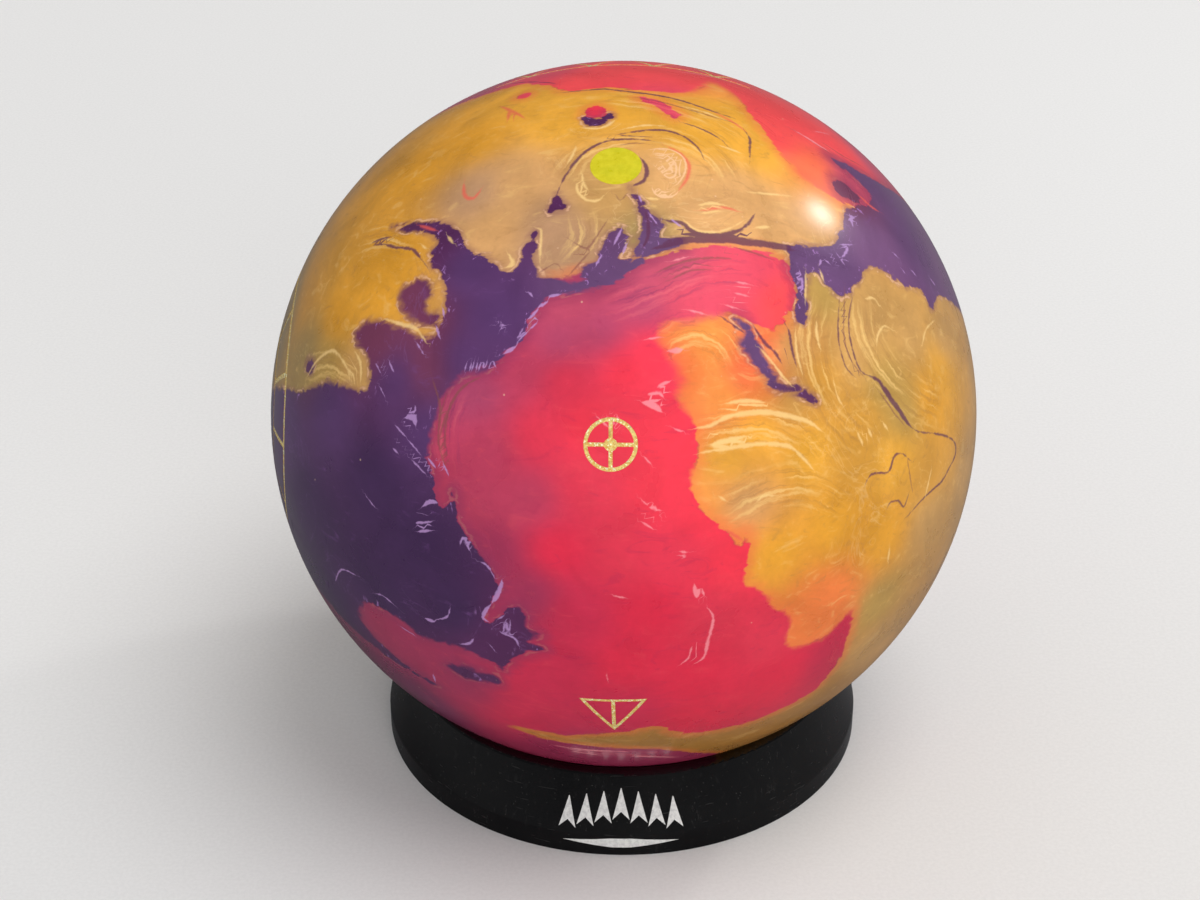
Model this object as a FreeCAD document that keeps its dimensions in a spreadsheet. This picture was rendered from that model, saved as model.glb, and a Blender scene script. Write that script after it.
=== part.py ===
"""An undrilled bowling ball resting in its display cup.

The cup stands on z = 0 with its axis on +Z. The ball's pieces are modelled about the ball's own
centre, where +Z runs out through the locating pin and -Y out through the mass-bias mark, and one
placement sets them into the cup. Sizes are millimetres and degrees.
"""
import FreeCAD, Part
import math
import os
import Sketcher

from FreeCAD import Placement, Rotation, Vector

SIZES = [
    ("ball_diameter", 217.2, "outside diameter of the ball"),
    ("cover_wall", 19.05, "thickness of the coverstock"),
    ("ball_gap", 3.4, "height of the ball's lowest point above the table"),
    ("pin_tilt", 21.2, "how far the pin leans from the vertical towards the front"),
    ("pin_lean", 0.8, "how far the pin leans from the vertical towards the left"),
    ("ball_turn", -1.3, "turn of the ball about the vertical"),
    ("pin_diameter", 14.3, "locating pin"),
    ("pin_socket", 12.0, "how far the pin enters the weight block"),
    ("block_drop", 62.0, "weight block, its foot below the ball's centre"),
    ("foot_radius", 24.0, "weight block, its foot"),
    ("belly_radius", 46.0, "weight block, its widest part"),
    ("belly_low", 30.0, "weight block, lower end of the widest part above the foot"),
    ("belly_high", 66.0, "weight block, upper end of the widest part above the foot"),
    ("waist_radius", 27.0, "weight block, its waist"),
    ("waist_low", 88.0, "weight block, lower end of the waist above the foot"),
    ("waist_high", 96.0, "weight block, upper end of the waist above the foot"),
    ("head_radius", 34.0, "weight block, its head"),
    ("head_low", 105.0, "weight block, lower end of the head above the foot"),
    ("head_high", 116.0, "weight block, upper end of the head above the foot"),
    ("top_radius", 20.0, "weight block, its top face"),
    ("top_height", 124.0, "weight block, its top face above the foot"),
    ("block_round", 3.0, "weight block, rounding of its edges"),
    ("flip_height", 22.0, "flip block, along the pin axis"),
    ("flip_width", 30.0, "flip block, across"),
    ("flip_length", 108.0, "flip block, end to end"),
    ("flip_round", 6.0, "flip block, rounding of its corners"),
    ("mark_depth", 0.6, "depth of the engraved lines"),
    ("mark_recess", 0.1, "how far the fill lies below the ball's surface"),
    ("mark_line", 1.1, "width of the small marks' lines"),
    ("emblem_line", 1.6, "width of the large emblems' lines"),
    ("gravity_diameter", 14.6, "centre-of-gravity mark, across its ring"),
    ("gravity_hub", 3.6, "centre-of-gravity mark, across its hub"),
    ("gravity_angle", 43.6, "centre-of-gravity mark, angle from the pin"),
    ("bias_radius", 11.2, "mass-bias mark, middle to corner"),
    ("side_diameter", 84.0, "side emblem, across its outer ring"),
    ("side_band", 15.0, "side emblem, between its two rings"),
    ("side_angle", 86.0, "side emblem, angle from the pin"),
    ("top_length", 76.0, "top emblem, length of its two rails"),
    ("top_width", 20.0, "top emblem, across its two rails"),
    ("top_angle", 39.0, "top emblem, angle from the pin"),
    ("seat_radius", 64.0, "cup, circle on which the ball rests"),
    ("seat_width", 7.0, "cup, width of the sloping seat"),
    ("seat_clearance", 0.3, "between the ball and the seat"),
    ("cup_splay", 12.8, "cup, how far the foot stands out beyond the seat circle"),
    ("cup_wall", 3.0, "cup, wall thickness"),
    ("foot_band", 7.0, "cup, height of the upright band at its foot"),
    ("skirt_lift", 7.0, "cup, height of the inner skirt's lower edge above the table"),
    ("rim_round", 1.2, "cup, rounding of the rim"),
    ("foot_round", 2.0, "cup, rounding above the foot band"),
    ("rib_width", 2.0, "cup, thickness of the ribs under the seat"),
]
GRAVITY_SPOKES = 4
SIDE_TICKS = 12
TOP_TEETH = 8
CUP_RIBS = 8
FULL_TURN = 360.0
FRONT, LEFT, BACK = 0.0, -90.0, 180.0   # ways round the pin axis from the mass-bias side
OVERLAP = 1.0           # how far a tool runs past the face that it cuts

doc = FreeCAD.newDocument("bowling_ball")


def make_sheet():
    """The driving dimensions, one per row, each cell with its alias."""
    sheet = doc.addObject("Spreadsheet::Sheet", "sizes")
    for row, (alias, value, meaning) in enumerate(SIZES, start=1):
        sheet.set(f"A{row}", meaning)
        sheet.set(f"B{row}", str(value))
        sheet.setAlias(f"B{row}", alias)
    doc.recompute()
    return sheet


sheet = make_sheet()


def size(alias):
    return float(sheet.get(alias))


# ---------------------------------------------------------------- frames

def ball_placement():
    """From the ball's own frame to the cup's."""
    turn = Rotation(Vector(0, 0, 1), size("ball_turn"))
    tilt = Rotation(Vector(1, 0, 0), size("pin_tilt"))
    lean = Rotation(Vector(0, 1, 0), -size("pin_lean"))
    centre = Vector(0, 0, size("ball_diameter") / 2 + size("ball_gap"))
    return Placement(centre, turn.multiply(tilt).multiply(lean))


IN_BALL = ball_placement()


def on_ball(from_pin, way_round):
    """A frame at the ball's centre whose +Z leaves through the surface from_pin degrees away
    from the pin, on the side way_round degrees from the mass-bias mark."""
    about_pin = Rotation(Vector(0, 0, 1), way_round)
    away = Rotation(Vector(1, 0, 0), from_pin)
    return IN_BALL.multiply(Placement(Vector(), about_pin.multiply(away)))


# ---------------------------------------------------------------- primitives and booleans

def bind(thing, bindings):
    for prop, expression in bindings.items():
        thing.setExpression(prop, expression)


def primitive(kind, name, bindings, place=Placement()):
    """A Part primitive with its sizes bound to the sheet."""
    thing = doc.addObject("Part::" + kind, name)
    thing.Placement = place
    bind(thing, bindings)
    return thing


def cut(name, base, tool):
    thing = doc.addObject("Part::Cut", name)
    thing.Base = base
    thing.Tool = tool
    return thing


def joined(name, shapes):
    thing = doc.addObject("Part::MultiFuse", name)
    thing.Shapes = shapes
    return thing


def overlap_of(name, shapes):
    thing = doc.addObject("Part::MultiCommon", name)
    thing.Shapes = shapes
    return thing


def ball_sphere(name, radius):
    """A sphere about the ball's centre."""
    return primitive("Sphere", name, {"Radius": radius}, IN_BALL)


# ---------------------------------------------------------------- sketches and bodies

def origin_plane(body, role):
    return next(f for f in body.Origin.OriginFeatures if f.Role == role)


def polygon_sketch(body, name, plane, corners):
    """A closed outline on one of the body's own planes. Each corner is a pair of expressions."""
    sketch = body.newObject("Sketcher::SketchObject", name)
    sketch.AttachmentSupport = [(origin_plane(body, plane), "")]
    sketch.MapMode = "FlatFace"
    count = len(corners)
    start = [Vector(count * math.cos(FULL_TURN * k / count), k, 0) for k in range(count)]
    for k in range(count):
        sketch.addGeometry(Part.LineSegment(start[k], start[(k + 1) % count]), False)
    for k in range(count):
        sketch.addConstraint(Sketcher.Constraint("Coincident", k, 2, (k + 1) % count, 1))
    for k, (across, up) in enumerate(corners):
        for axis, expression, value in (("X", across, start[k].x), ("Y", up, start[k].y)):
            kind = "Distance" + axis
            which = sketch.addConstraint(Sketcher.Constraint(kind, -1, 1, k, 1, value))
            sketch.setExpression(f"Constraints[{which}]", expression)
    return sketch


def revolve(body, sketch, name):
    turned_solid = body.newObject("PartDesign::Revolution", name)
    turned_solid.Profile = sketch
    turned_solid.ReferenceAxis = (sketch, ["V_Axis"])
    turned_solid.Angle = FULL_TURN
    sketch.Visibility = False
    doc.recompute()
    return turned_solid


def through_middle(body, kind, sketch, name, length):
    """A pad or pocket that runs equally to both sides of its sketch."""
    feature = body.newObject("PartDesign::" + kind, name)
    feature.Profile = sketch
    feature.Midplane = True
    feature.setExpression("Length", length)
    doc.recompute()
    return feature


def fillet(body, base, name, keep, radius):
    """Rounds the edges of base for which keep(edge) is true."""
    edges = [f"Edge{k}" for k, edge in enumerate(base.Shape.Edges, start=1) if keep(edge)]
    rounded = body.newObject("PartDesign::Fillet", name)
    rounded.Base = (base, edges)
    rounded.setExpression("Radius", radius)
    doc.recompute()
    return rounded


def rectangle(width, height):
    """Corners of a rectangle about the sketch's origin."""
    ways = ((-1, -1), (1, -1), (1, 1), (-1, 1))
    return [(f"{a} * {width} / 2", f"{b} * {height} / 2") for a, b in ways]


# ---------------------------------------------------------------- the ball's core

def weight_block(flip):
    """A solid of revolution about the pin axis, pocketed for the pin and for the flip block."""
    body = doc.addObject("PartDesign::Body", "block_body")
    outline = [("0", "0"), ("sizes.foot_radius", "0")]
    for station in ("belly_low", "belly_high", "waist_low", "waist_high", "head_low", "head_high"):
        part = station.split("_")[0]
        outline.append((f"sizes.{part}_radius", f"sizes.{station}"))
    outline.append(("sizes.top_radius", "sizes.top_height"))
    outline.append(("0", "sizes.top_height"))
    sketch = polygon_sketch(body, "block_outline", "XZ_Plane", outline)
    solid = revolve(body, sketch, "block_turned")

    def rim(edge):
        return isinstance(edge.Curve, Part.Circle) and edge.isClosed()

    fillet(body, solid, "block_rounded", rim, "sizes.block_round")
    body.Placement = IN_BALL.multiply(Placement(Vector(0, 0, -size("block_drop")), Rotation()))
    socket = primitive("Cylinder", "block_socket", {
        "Radius": "sizes.pin_diameter / 2",
        "Height": "sizes.pin_socket + 1"}, pin_frame())
    return cut("weight_block", body, joined("block_tools", [socket, flip]))


def pin_frame():
    """The bottom of the pin's socket in the weight block."""
    bottom = size("top_height") - size("block_drop") - size("pin_socket")
    return IN_BALL.multiply(Placement(Vector(0, 0, bottom), Rotation()))


def flip_block():
    """A bar that crosses the weight block from left to right."""
    body = doc.addObject("PartDesign::Body", "flip_block")
    plan = rectangle("sizes.flip_length", "sizes.flip_width")
    sketch = polygon_sketch(body, "flip_plan", "XY_Plane", plan)
    bar = through_middle(body, "Pad", sketch, "flip_bar", "sizes.flip_height")

    def upright(edge):
        return abs(edge.BoundBox.ZLength - size("flip_height")) < OVERLAP

    fillet(body, bar, "flip_rounded", upright, "sizes.flip_round")
    middle = (size("belly_low") + size("belly_high")) / 2 - size("block_drop")
    body.Placement = IN_BALL.multiply(Placement(Vector(0, 0, middle), Rotation()))
    return body


def locating_pin(ball):
    """A rod from the weight block's socket that ends flush with the ball's surface."""
    rod = primitive("Cylinder", "pin_rod", {
        "Radius": "sizes.pin_diameter / 2",
        "Height": "sizes.ball_diameter / 2"}, pin_frame())
    return overlap_of("locating_pin", [rod, ball])


# ---------------------------------------------------------------- the marks

def prism_reach():
    return f"sizes.ball_diameter / 2 + {OVERLAP}"


def ring(name, radius, line, place):
    """An upright tube whose outer radius and wall are given."""
    outer = primitive("Cylinder", name + "_outer",
                      {"Radius": radius, "Height": prism_reach()}, place)
    inner = primitive("Cylinder", name + "_inner",
                      {"Radius": f"{radius} - {line}", "Height": prism_reach()}, place)
    return cut(name, outer, inner)


def bar(name, length, line, place):
    """An upright wall from the middle of place out along its +X."""
    corner = Placement(Vector(0, -size(line) / 2, 0), Rotation())
    return primitive("Box", name, {
        "Length": length,
        "Width": f"sizes.{line}",
        "Height": prism_reach()}, place.multiply(corner))


def turned(angle):
    return Placement(Vector(), Rotation(Vector(0, 0, 1), angle))


def shifted(along, across=0.0):
    return Placement(Vector(along, across, 0), Rotation())


def gravity_mark():
    """A ring with a hub and spokes."""
    place = on_ball(size("gravity_angle"), FRONT)
    rim = ring("gravity_ring", "sizes.gravity_diameter / 2", "sizes.mark_line", place)
    hub = primitive("Cylinder", "gravity_hub_rod",
                    {"Radius": "sizes.gravity_hub / 2", "Height": prism_reach()}, place)
    reach = "sizes.gravity_diameter / 2 - sizes.mark_line / 2"
    spokes = [bar(f"gravity_spoke_{k}", reach, "mark_line",
                  place.multiply(turned(FULL_TURN * k / GRAVITY_SPOKES)))
              for k in range(GRAVITY_SPOKES)]
    return joined("gravity_strokes", [rim, hub] + spokes)


def bias_mark():
    """A triangular outline that points away from the pin, halved by a bar."""
    place = on_ball(FULL_TURN / 4, FRONT).multiply(turned(-FULL_TURN / 4))
    outer = primitive("Prism", "bias_outer", {
        "Circumradius": "sizes.bias_radius", "Height": prism_reach()}, place)
    inner = primitive("Prism", "bias_inner", {
        "Circumradius": "sizes.bias_radius - 2 * sizes.mark_line", "Height": prism_reach()}, place)
    for prism in (outer, inner):
        prism.Polygon = 3
    flat_side = place.multiply(shifted(size("mark_line") / 2 - size("bias_radius") / 2))
    post = bar("bias_post", "1.5 * sizes.bias_radius - 2 * sizes.mark_line", "mark_line", flat_side)
    return joined("bias_strokes", [cut("bias_outline", outer, inner), post])


def side_emblem():
    """A dial: two rings with ticks between them."""
    place = on_ball(size("side_angle"), LEFT)
    outer = ring("side_outer", "sizes.side_diameter / 2", "sizes.emblem_line", place)
    inner = ring("side_inner", "sizes.side_diameter / 2 - sizes.side_band",
                 "sizes.emblem_line", place)
    start = size("side_diameter") / 2 - size("side_band") - size("emblem_line") / 2
    ticks = [bar(f"side_tick_{k}", "sizes.side_band", "emblem_line",
                 place.multiply(turned(FULL_TURN * k / SIDE_TICKS)).multiply(shifted(start)))
             for k in range(SIDE_TICKS)]
    return joined("side_strokes", [outer, inner] + ticks)


def top_emblem():
    """Two rails with a zigzag of slanting bars between them."""
    place = on_ball(size("top_angle"), BACK)
    half_length = size("top_length") / 2
    half_gap = (size("top_width") - size("emblem_line")) / 2
    rails = [bar(f"top_rail_{k}", "sizes.top_length", "emblem_line",
                 place.multiply(shifted(-half_length, side * half_gap)))
             for k, side in enumerate((-1, 1))]
    rise = "(sizes.top_width - sizes.emblem_line)"
    run = f"((sizes.top_length - 2 * sizes.emblem_line) / {TOP_TEETH})"
    pitch = (size("top_length") - 2 * size("emblem_line")) / TOP_TEETH
    slope = math.degrees(math.atan2(2 * half_gap, pitch))
    teeth = []
    for k in range(TOP_TEETH):
        side = 1 if k % 2 else -1
        foot = shifted(size("emblem_line") - half_length + k * pitch, side * half_gap)
        teeth.append(bar(f"top_tooth_{k}", f"sqrt({rise} ^ 2 + {run} ^ 2)", "emblem_line",
                         place.multiply(foot).multiply(turned(-side * slope))))
    return joined("top_strokes", rails + teeth)


def fill(name, strokes, bed, face):
    """What lies of the strokes between the bed of the engraving and the face of its fill."""
    return overlap_of(name, [strokes, cut(name + "_layer", face, bed)])


# ---------------------------------------------------------------- the cup

def cup_points():
    """Expressions for the two ends of the seat and for the foot, each as radius and height."""
    ball = "sizes.ball_diameter / 2"
    lean = f"asin(sizes.seat_radius / ({ball}))"
    away = f"({ball} + sizes.seat_clearance)"
    ends = [(f"{away} * sin({lean}) + {side} * sizes.seat_width / 2 * cos({lean})",
             f"sizes.ball_gap + {ball} - {away} * cos({lean})"
             f" + {side} * sizes.seat_width / 2 * sin({lean})")
            for side in (1, -1)]
    return ends[0], ends[1], "sizes.seat_radius + sizes.cup_splay"


def ball_cup():
    """A thin moulded ring, open below: a foot band, a sloping wall, a rim, the seat that the ball
    rests on, and a short skirt inside. Ribs stiffen it under the seat."""
    body = doc.addObject("PartDesign::Body", "ball_cup")
    (high_r, high_z), (low_r, low_z), foot_r = cup_points()
    wall = "sizes.cup_wall"
    sketch = polygon_sketch(body, "cup_outline", "XZ_Plane", [
        (foot_r, "0"),
        (foot_r, "sizes.foot_band"),
        (f"{high_r} + {wall}", high_z),
        (high_r, high_z),
        (low_r, low_z),
        (low_r, "sizes.skirt_lift"),
        (f"{low_r} + {wall}", "sizes.skirt_lift"),
        (f"{low_r} + {wall}", f"{low_z} - {wall} / 2"),
        (high_r, f"{high_z} - {wall} * 1.5"),
        (f"{foot_r} - {wall}", f"sizes.foot_band - {wall} / 4"),
        (f"{foot_r} - {wall}", "0")])
    solid = revolve(body, sketch, "cup_turned")
    top = solid.Shape.BoundBox.ZMax
    widest = solid.Shape.BoundBox.XMax

    def rim(edge):
        return isinstance(edge.Curve, Part.Circle) and edge.BoundBox.ZMin > top - OVERLAP / 2

    def shoulder(edge):
        box = edge.BoundBox
        return box.XMax > widest - OVERLAP / 2 and box.ZMin > size("foot_band") - OVERLAP / 2

    soft_rim = fillet(body, solid, "cup_rim", rim, "sizes.rim_round")
    soft_foot = fillet(body, soft_rim, "cup_shoulder", shoulder, "sizes.foot_round")
    rib = polygon_sketch(body, "rib_outline", "XZ_Plane", [
        (f"{low_r} + {wall} / 2", "sizes.skirt_lift"),
        (f"{foot_r} - {wall} / 2", "sizes.skirt_lift"),
        (high_r, f"{high_z} - {wall}"),
        (f"{low_r} + {wall} / 2", f"{low_z} - {wall} / 4")])
    web = through_middle(body, "Pad", rib, "rib_web", "sizes.rib_width")
    ribs = body.newObject("PartDesign::PolarPattern", "rib_ring")
    ribs.Originals = [web]
    ribs.Axis = (origin_plane(body, "Z_Axis"), [""])
    ribs.Angle = FULL_TURN
    ribs.Occurrences = CUP_RIBS
    body.Tip = ribs
    doc.recompute()
    if ribs.Shape.Volume <= soft_foot.Shape.Volume:
        raise RuntimeError("the ribs add nothing to the cup")
    return body


# ---------------------------------------------------------------- the whole

def build():
    """Every sub-part under the name of its file."""
    ball = ball_sphere("ball_outside", "sizes.ball_diameter / 2")
    core = ball_sphere("core_outside", "sizes.ball_diameter / 2 - sizes.cover_wall")
    bed = ball_sphere("mark_bed", "sizes.ball_diameter / 2 - sizes.mark_depth")
    face = ball_sphere("mark_face", "sizes.ball_diameter / 2 - sizes.mark_recess")
    flip = flip_block()
    block = weight_block(flip)
    pin = locating_pin(ball)
    strokes = {
        "gravity_mark": gravity_mark(),
        "bias_mark": bias_mark(),
        "side_emblem": side_emblem(),
        "top_emblem": top_emblem(),
    }
    fills = {name: fill(name, shape, bed, face) for name, shape in strokes.items()}
    engraving = cut("engraving", joined("all_strokes", list(strokes.values())), bed)
    hollow = joined("cover_tools", [core, pin])
    cover = cut("coverstock", cut("cover_wall_only", ball, hollow), engraving)
    filling = joined("core_tools", [block, flip, pin])
    outer_core = cut("outer_core", core, filling)
    return {
        "ball_cup": ball_cup(),
        "coverstock": cover,
        "outer_core": outer_core,
        "weight_block": block,
        "flip_block": flip,
        "locating_pin": pin,
        **fills,
    }


def check(parts):
    """Stops if an object failed or a sub-part is empty or invalid."""
    doc.recompute()
    for thing in doc.Objects:
        if {"Invalid", "Error"} & set(thing.State):
            raise RuntimeError(f"{thing.Name} failed: {thing.State}")
    for name, part in parts.items():
        if part.Shape.isNull() or not part.Shape.isValid():
            raise RuntimeError(f"{name} has no valid shape")


def write(parts):
    os.makedirs("parts", exist_ok=True)
    for name, part in parts.items():
        part.Label = name
        part.Shape.exportStep(f"parts/{name}.step")
        solids = len(part.Shape.Solids)
        print(f"{name}: {solids} solid(s), {part.Shape.Volume / 1000:.1f} cm3")


parts = build()
check(parts)
write(parts)
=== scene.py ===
"""Looks for an undrilled marbled bowling ball resting in its black display cup.

The ball's skin is one fine mesh. Its colours are laid out on it as a painter would: outlines,
lines and colour notes are given as (longitude, latitude) in degrees on the ball, seen from the
side that faces the camera, and are turned into smooth values at the mesh's points. The node
material mixes them and adds all finer detail. Widths of lines and the sizes in materials are
in millimetres, and everything else is in metres.
"""
import math

import bmesh
import bpy
import numpy as np
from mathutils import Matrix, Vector
from mathutils.bvhtree import BVHTree


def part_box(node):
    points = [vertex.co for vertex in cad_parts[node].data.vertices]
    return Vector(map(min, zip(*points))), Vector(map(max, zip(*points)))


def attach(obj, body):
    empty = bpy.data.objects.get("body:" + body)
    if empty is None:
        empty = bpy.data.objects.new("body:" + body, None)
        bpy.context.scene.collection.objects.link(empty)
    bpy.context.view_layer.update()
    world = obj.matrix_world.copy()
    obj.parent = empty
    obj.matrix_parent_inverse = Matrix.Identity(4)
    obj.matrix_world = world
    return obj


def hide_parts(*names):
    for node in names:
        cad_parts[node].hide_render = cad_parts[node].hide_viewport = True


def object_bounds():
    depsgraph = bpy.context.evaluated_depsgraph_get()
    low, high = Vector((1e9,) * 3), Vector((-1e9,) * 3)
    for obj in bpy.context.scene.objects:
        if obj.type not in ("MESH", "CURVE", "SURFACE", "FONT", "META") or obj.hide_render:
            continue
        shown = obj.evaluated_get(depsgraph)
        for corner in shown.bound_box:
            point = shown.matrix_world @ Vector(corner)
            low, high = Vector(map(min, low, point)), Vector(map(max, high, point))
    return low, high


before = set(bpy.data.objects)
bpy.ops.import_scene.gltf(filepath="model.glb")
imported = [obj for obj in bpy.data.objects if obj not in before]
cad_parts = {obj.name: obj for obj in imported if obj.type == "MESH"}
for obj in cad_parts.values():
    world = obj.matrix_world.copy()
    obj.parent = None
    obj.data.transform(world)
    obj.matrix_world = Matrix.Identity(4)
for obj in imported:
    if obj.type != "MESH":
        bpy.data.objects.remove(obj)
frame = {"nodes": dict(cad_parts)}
cad_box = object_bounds()

MM = 0.001
VIEW_ELEVATION = math.radians(29.5)
CAMERA_DISTANCE = 0.760            # from the ball's centre
CAMERA_LENS = 73.3
AIM_LEFT, AIM_DOWN = math.radians(0.54), math.radians(0.84)   # the ball is a little off centre
HIGHLIGHT = (34.6, 30.2)           # where the key lamp shows on the ball, in degrees
FACE_CELLS = 150                   # cells along an edge of each of the skin's six faces
INNER_CELLS = 24                   # and of its inner side's
FILL_NODES = ("gravity_mark", "bias_mark", "side_emblem", "top_emblem")
CUT_NODES = FILL_NODES + ("locating_pin",)
OUTER_BAND = 0.3 * MM              # the shell's outer points are within it of the outermost
FACE_BAND = 0.35 * MM              # fills have their outer faces within it, and floors below
CUT_CLEAR = 0.5 * MM               # how far the cutters stand out of the ball
WELD_GAP = 0.001 * MM
FACES_OUT, FACES_IN = 0.9, -0.95   # cosines to the radius past which a face is on a sphere
EDGE_FAR, FAR_RISE = 0.45, 2.2     # "far" at the edge of the ball in view, and how it grows
SKIN_SLACK = 0.02 * MM             # how far from the sphere a point of the skin may lie
FAR = 9.0                          # distance in mm past which an outline or line has no effect


def srgb(red, green, blue):
    """Linear colour from 0 to 255 values."""
    def linear(value):
        c = value / 255
        return c / 12.92 if c <= 0.04045 else ((c + 0.055) / 1.055) ** 2.4
    return (linear(red), linear(green), linear(blue))


# ---------------------------------------------------------------- the ball's frame

def fit_sphere(points):
    """Centre and radius of the sphere through the outermost points of a shell."""
    middle = (points.max(axis=0) + points.min(axis=0)) / 2
    reach = np.linalg.norm(points - middle, axis=1)
    outer = points[reach > reach.max() - OUTER_BAND]
    system = np.hstack([2 * outer, np.ones((len(outer), 1))])
    answer = np.linalg.lstsq(system, (outer ** 2).sum(axis=1), rcond=None)[0]
    centre = answer[:3]
    return centre, math.sqrt(answer[3] + centre @ centre)


def mesh_points(mesh):
    points = np.empty(len(mesh.vertices) * 3)
    mesh.vertices.foreach_get("co", points)
    return points.reshape(-1, 3)


BALL_CENTRE, BALL_RADIUS = fit_sphere(mesh_points(frame["nodes"]["coverstock"].data))
RADIUS_MM = BALL_RADIUS / MM
TOWARDS = np.array([0, -math.cos(VIEW_ELEVATION), math.sin(VIEW_ELEVATION)])
ACROSS = np.array([1.0, 0, 0])
UPWARDS = np.array([0, math.sin(VIEW_ELEVATION), math.cos(VIEW_ELEVATION)])


def direction(lonlat):
    """Unit vectors of (longitude, latitude) pairs in degrees."""
    lon, lat = np.radians(np.asarray(lonlat, dtype=float)).T
    level = np.cos(lat)
    return (np.outer(level * np.sin(lon), ACROSS) + np.outer(np.sin(lat), UPWARDS)
            + np.outer(level * np.cos(lon), TOWARDS))


# ---------------------------------------------------------------- the marbling's layout

# Outlines of the red and the purple areas. The rest of the ball is gold.
RED_AREAS = {
    "cap": [
        (-98, 45), (-88, 51), (-76, 54.5), (-65, 57.5), (-55, 59.8), (-45, 62.3), (-38, 63.5),
        (-30, 62.6), (-24, 61.2), (-20, 59.8), (-17, 59), (-12, 59.6), (-6, 60.2), (0, 59.6),
        (8, 59), (14, 58.5), (20, 59.3), (26, 61.5), (31, 64), (34.5, 63), (34.6, 59), (33.7, 54),
        (33.4, 49), (33.6, 45), (34.6, 41), (36.5, 37.6), (39.5, 35.6), (43, 34), (52, 31),
        (70, 27), (95, 24), (120, 36), (150, 45), (180, 42), (-150, 34), (-120, 40)],
    "centre": [
        (8, 24), (12, 24.7), (16, 25), (20, 24.7), (24, 23.8), (26.8, 22), (27.3, 19), (26.4, 16),
        (24.7, 14.5), (23.5, 12.9), (21.5, 12.2), (19, 13.2), (16.5, 14.4), (12, 14), (8, 13.2),
        (5, 12), (5.6, 9.4), (7.4, 7), (8.3, 4.5), (7.7, 2), (9.3, 0), (10.4, -2.5), (10.6, -6),
        (9.7, -9), (10.5, -12), (12.3, -14.3), (14.5, -16), (16.5, -18), (18.2, -19.3),
        (18.6, -17.2), (19.5, -18.5), (19.7, -25), (22.4, -26), (24.5, -27.6), (27, -29.7),
        (29.5, -30.5), (30.8, -32.5), (31, -35), (32.5, -36.5), (34.8, -37), (38, -36.1),
        (40.7, -35.2), (42.3, -33), (44.4, -30.8), (45.9, -33), (47.3, -36.2), (49.4, -40),
        (50.3, -44.5), (49.3, -48.8), (45, -52), (39, -54.7), (34.5, -56), (29, -57.3), (23, -58.2),
        (18, -58), (14.5, -57), (11, -55.6), (8.5, -55.3), (5.5, -56), (2, -57), (-3, -57.6),
        (-9, -58.2), (-16, -58.8), (-24, -58), (-30, -57), (-34, -56.6), (-31, -58.8), (-27, -60.5),
        (-20, -62), (-12, -62.9), (0, -63.7), (10, -64.4), (18, -65.2), (28, -67), (40, -69),
        (60, -71), (110, -72), (160, -62), (-160, -50), (-130, -46), (-105, -44), (-88, -36),
        (-70, -22), (-50, -10), (-38, 0), (-31, 8), (-22, 13), (-14, 18), (-8, 20), (0, 22)],
    "drop": [
        (-9.8, 51.4), (-9, 53), (-7.2, 53.8), (-5.2, 53.3), (-4.2, 51.9), (-4.8, 50.8), (-7, 50.6),
        (-9, 50.5)],
    "fleck": [(-33, 58.3), (-31, 59.2), (-28.8, 58.9), (-29, 57.8), (-31.5, 57.4)],
    "streak": [
        (3.5, 57), (8, 56.2), (11, 54.3), (13.4, 52), (12, 50.4), (9.8, 51.6), (7.5, 53.6),
        (4.8, 55.4)],
    "far_ribbon": [
        (118, 8), (126, 16), (140, 20), (158, 14), (176, 4), (-164, 2), (-150, 9), (-143, 4),
        (-155, -6), (-175, -9), (168, -4), (150, 5), (134, 10), (124, 3)],
}
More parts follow.
